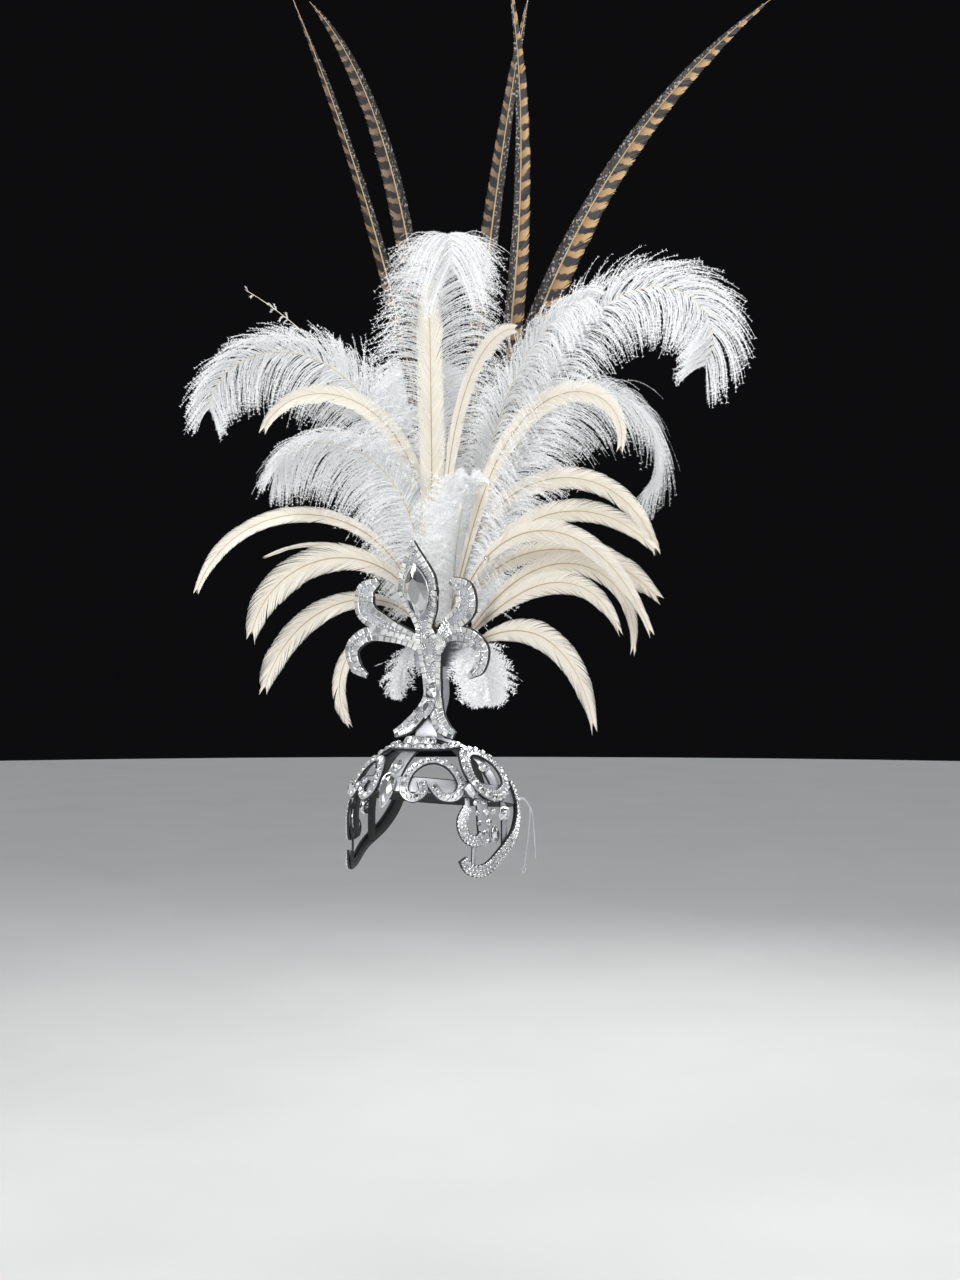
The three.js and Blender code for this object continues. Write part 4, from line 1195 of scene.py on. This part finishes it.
def add_plume(piece, shaft, count, seed, width, fringe, fluff, stations=9, fringes=14):
    """Barbs along both sides of a shaft; fringe is the barbules' length and fluff how far barbs stray."""
    rng = np.random.default_rng(seed)
    row = shaft.row
    t = np.clip(np.linspace(DOWN["start"], 1, count) + rng.normal(0, 0.004, count), 0.02, 1)
    t = t[(t < row["thin"]) | (rng.uniform(size=count) < STRIPPED["kept"])]
    count = len(t)
    sign = np.where(rng.uniform(size=count) < 0.5, -1.0, 1.0)
    lean = np.radians(BARB["lean"] + BARB["gain"] * t + rng.normal(0, BARB["stray"], count))
    grown = DOWN["share"] + (1 - DOWN["share"]) * smoothstep(t, DOWN["start"], row["bare"] + 0.05)
    reach = row["spread"] * grown * (1 - BARB["shorten"] * t ** 4) * rng.uniform(*BARB["uneven"], count)
    reach = np.where(t > row["thin"], reach * STRIPPED["reach"], reach)
    stray = rng.normal(BARB["cup"], fluff, count)
    sag = row["droop"] * rng.uniform(0.6, 1.25, count)
    wave = rng.uniform(0, 2 * np.pi, count)
    wander = unit(rng.normal(size=(count, 3)))
    turn = math.radians(row["roll"])

    def spot(u):
        run = reach[:, None] * u * (1 - BARB["curl"] * u)
        points, along, rear = shaft.at(t[:, None] + run * np.sin(lean)[:, None] / row["length"])
        side = shaft.side * math.cos(turn) + rear * math.sin(turn)
        place = points + side * (run * (sign * np.cos(lean))[:, None])[..., None]
        place = place + np.cross(along, side) * (run * stray[:, None])[..., None]
        ripple = 0.03 * reach[:, None] * u * np.sin(5 * u + wave[:, None])
        place = place + wander[:, None] * ripple[..., None]
        place[..., 2] -= (sag * reach)[:, None] * u ** 2
        return place

    _, along, rear = shaft.at(t)
    back = np.cross(along, shaft.side * math.cos(turn) + rear * math.sin(turn))
    u = np.broadcast_to(np.linspace(0, 1, stations), (count, stations))
    centre = spot(u)
    ahead = unit(np.gradient(centre, axis=1))
    across = unit(np.cross(ahead, unit(back + 0.6 * rng.normal(size=(count, 3)))[:, None]))
    half = width / 2 * (1 - 0.75 * u)
    net = np.stack([centre - across * half[..., None], centre + across * half[..., None]], axis=2)
    tone = rng.uniform(size=count)
    lay = np.zeros(net.shape)
    lay[..., 0] = u[..., None]
    lay[..., 2] = tone[:, None, None]
    piece.add(net, ribbon_faces(count, stations), 0, lay)

    places = np.linspace(0.06, 0.99, fringes) + rng.uniform(-0.03, 0.03, (count, fringes))
    foot = spot(places)
    heading = unit(spot(places + 0.02) - spot(places - 0.02))
    normal = unit(back + 0.5 * rng.normal(size=(count, 3)))[:, None]
    beside = unit(np.cross(heading, normal))
    for hand in (-1, 1):
        sweep = unit(beside * hand + heading * 0.9 + 0.35 * rng.normal(size=foot.shape))
        reach_out = fringe * rng.uniform(0.6, 1.1, (count, fringes))[..., None]
        base = heading * (0.16 * fringe)
        tips = foot + sweep * reach_out
        corners = np.stack([foot - base, foot + base, tips], axis=2)
        values = np.zeros(corners.shape)
        values[..., 0] = places[..., None]
        values[..., 2] = tone[:, None, None]
        piece.add(corners, np.arange(count * fringes * 3).reshape(-1, 3), 0, values)


WHOLE = 2
STRIPPED = {"kept": 0.03, "reach": 0.35}
PLUMES = feather_table(["spread", "bare", "roll", "droop", "thin", "barbs"], {
    "marabou_upper": (11, 16, ROOT, 330, 86, 30, 2, 150, 60, 0.2, 0, 0.3, WHOLE, 1300),
    "marabou_left": (-28, 18, 176, 190, -45, 40, 1, 56, 26, 0.1, 0, 0.2, WHOLE, 200),
    "marabou_right": (28, 18, 176, 345, -45, 40, 1, 58, 34, 0.1, 0, 0.2, WHOLE, 1100),
    "ostrich_front": (-8, 20, ROOT, 306, 90, 185, 5, 485, 108, 0.2, 0, 0.55, WHOLE, 1500),
    "ostrich_right": (19, 27, ROOT, 2, 72, 200, 4, 525, 95, 0.25, 60, 0.25, WHOLE, 1500),
    "ostrich_left": (-18, 25, ROOT, 208, 82, 167, 2.8, 450, 80, 0.25, 60, 0.35, WHOLE, 1300),
    "ostrich_high": (-16, 31, ROOT, 178, 92, 63, 0.77, 460, 60, 0.3, 60, 0.3, 0.68, 1100),
    "ostrich_low": (19, 44, ROOT, 60, 79, 216, 2.6, 475, 85, 0.25, 40, 0.4, WHOLE, 1300),
    "ostrich_centre": (5, 22, ROOT, 0, 76, 60, 4, 370, 85, 0.2, 60, 0.5, WHOLE, 1300),
    "ostrich_side": (-21, 16, ROOT, 228, 88, 148, 2.2, 295, 75, 0.2, 45, 0.5, WHOLE, 1200),
    "ostrich_back": (-2, 45, ROOT, 135, 85, 180, 3, 450, 90, 0.25, 0, 0.5, WHOLE, 1200),
})

for number, (name, row) in enumerate(PLUMES.items()):
    shaft = Shaft(row)
    piece = Piece()
    if name.startswith("marabou"):
        add_plume(piece, shaft, row["barbs"], 300 + number, 0.4, 4.2, 0.38)
        finish, kind, quill = MARABOU, "marabou", 0.8
    else:
        add_plume(piece, shaft, row["barbs"], 300 + number, 0.9, 2.6, 0.12)
        finish, kind, quill = OSTRICH, "ostrich", 1.2
    add_rachis(piece, shaft, quill, 1)
    made = piece.make(name + "_plume", [finish, STRAW], kind, replaced=[name])
    print(made.name, len(made.data.polygons), "faces")

# %% Crystals on the shafts
SHAFT_CRYSTALS = [
    {"row": COQUES["coque_13"], "at": 0.24, "size": 5},
    {"row": COQUES["coque_11"], "at": 0.36, "size": 5},
    {"row": COQUES["coque_10"], "at": 0.4, "size": 5},
    {"row": PLUMES["ostrich_right"], "at": 0.56, "size": 5},
]
CRYSTAL_LIFT = 1.4

crystals = Piece()
for row in SHAFT_CRYSTALS:
    point, along, _ = Shaft(row["row"]).at(np.array([row["at"]]))
    out = unit(-TO_BACK - along * (along @ -TO_BACK)[:, None])
    seat = (point + out * CRYSTAL_LIFT, along, np.cross(out, along), out)
    add_stones(crystals, seat, "round", (row["size"], row["size"], row["size"] * 0.5), 8, rng)
crystals.make("shaft_crystals", [CRYSTAL, SETTING], "crystal", smooth=False)
print("crystals on shafts:", len(SHAFT_CRYSTALS))

# %% [markdown]
# ## Floor and light
# A pale floor lies well below, and the light is a studio's: a large soft key from the left of the camera, a
# weaker fill from the right, one from above and one from behind that edges the feathers. The room around is
# dark, so that white feathers and cut stones stand out.

# %% Floor and lights
FLOOR_DROP = -465
FLOOR_REACH = 9000
FLOOR_SIDES = 96
FLOOR = mottled(
    "pale_floor", (0.62, 0.62, 0.61), (0.7, 0.7, 0.69), (0.7, 0.9), scale=3.0, grain=200.0, dent=0.02
)
turns = np.linspace(0, 2 * np.pi, FLOOR_SIDES, endpoint=False)
flat = np.stack([np.cos(turns), np.sin(turns)], axis=1) * FLOOR_REACH
rim = np.column_stack([flat, np.full(FLOOR_SIDES, FLOOR_DROP)])
ground = bpy.data.meshes.new("floor")
ground.from_pydata((rim * MM).tolist(), [], [list(range(FLOOR_SIDES))])
ground.materials.append(FLOOR)
floor = bpy.data.objects.new("floor", ground)
bpy.context.collection.objects.link(floor)

LIGHTS = [
    {"name": "key", "right": -1500, "back": -1900, "up": 1500, "size": 1.6, "watts": 50},
    {"name": "fill", "right": 1700, "back": -1500, "up": 700, "size": 1.5, "watts": 16},
    {"name": "overhead", "right": 100, "back": 100, "up": 2400, "size": 1.4, "watts": 20},
    {"name": "edge", "right": 900, "back": 1700, "up": 1300, "size": 1.0, "watts": 24},
]
LOOK_AT = np.array([0, 0, 350])
for row in LIGHTS:
    lamp = bpy.data.lights.new(row["name"], "AREA")
    lamp.size = row["size"]
    lamp.energy = row["watts"]
    holder = bpy.data.objects.new(row["name"], lamp)
    bpy.context.collection.objects.link(holder)
    spot = TO_RIGHT * row["right"] + TO_BACK * row["back"] + np.array([0, 0, row["up"]])
    holder.location = spot * MM
    holder.rotation_euler = Vector(LOOK_AT - spot).to_track_quat("-Z", "Y").to_euler()

ROOM_SEEN = (0.004, 0.004, 0.0045, 1)
ROOM_DARK = (0.05, 0.05, 0.055, 1)
ROOM_BRIGHT = (0.72, 0.73, 0.76, 1)
room = bpy.data.worlds.new("room")
room.use_nodes = True
walls = room.node_tree
facing = put(walls, "ShaderNodeTexCoord").outputs["Generated"]
panels = put(walls, "ShaderNodeTexNoise", {"Vector": facing, "Scale": 2.4, "Detail": 1.0}).outputs[0]
panel = mask(walls, panels, 0.44, 0.56)
lit_room = mix(walls, panel, ROOM_DARK, ROOM_BRIGHT)
seen = put(walls, "ShaderNodeLightPath").outputs["Is Camera Ray"]
walls.links.new(mix(walls, seen, lit_room, ROOM_SEEN), walls.nodes["Background"].inputs["Color"])
bpy.context.scene.world = room
bpy.context.scene.view_settings.view_transform = "Standard"
print("lights:", len(LIGHTS))
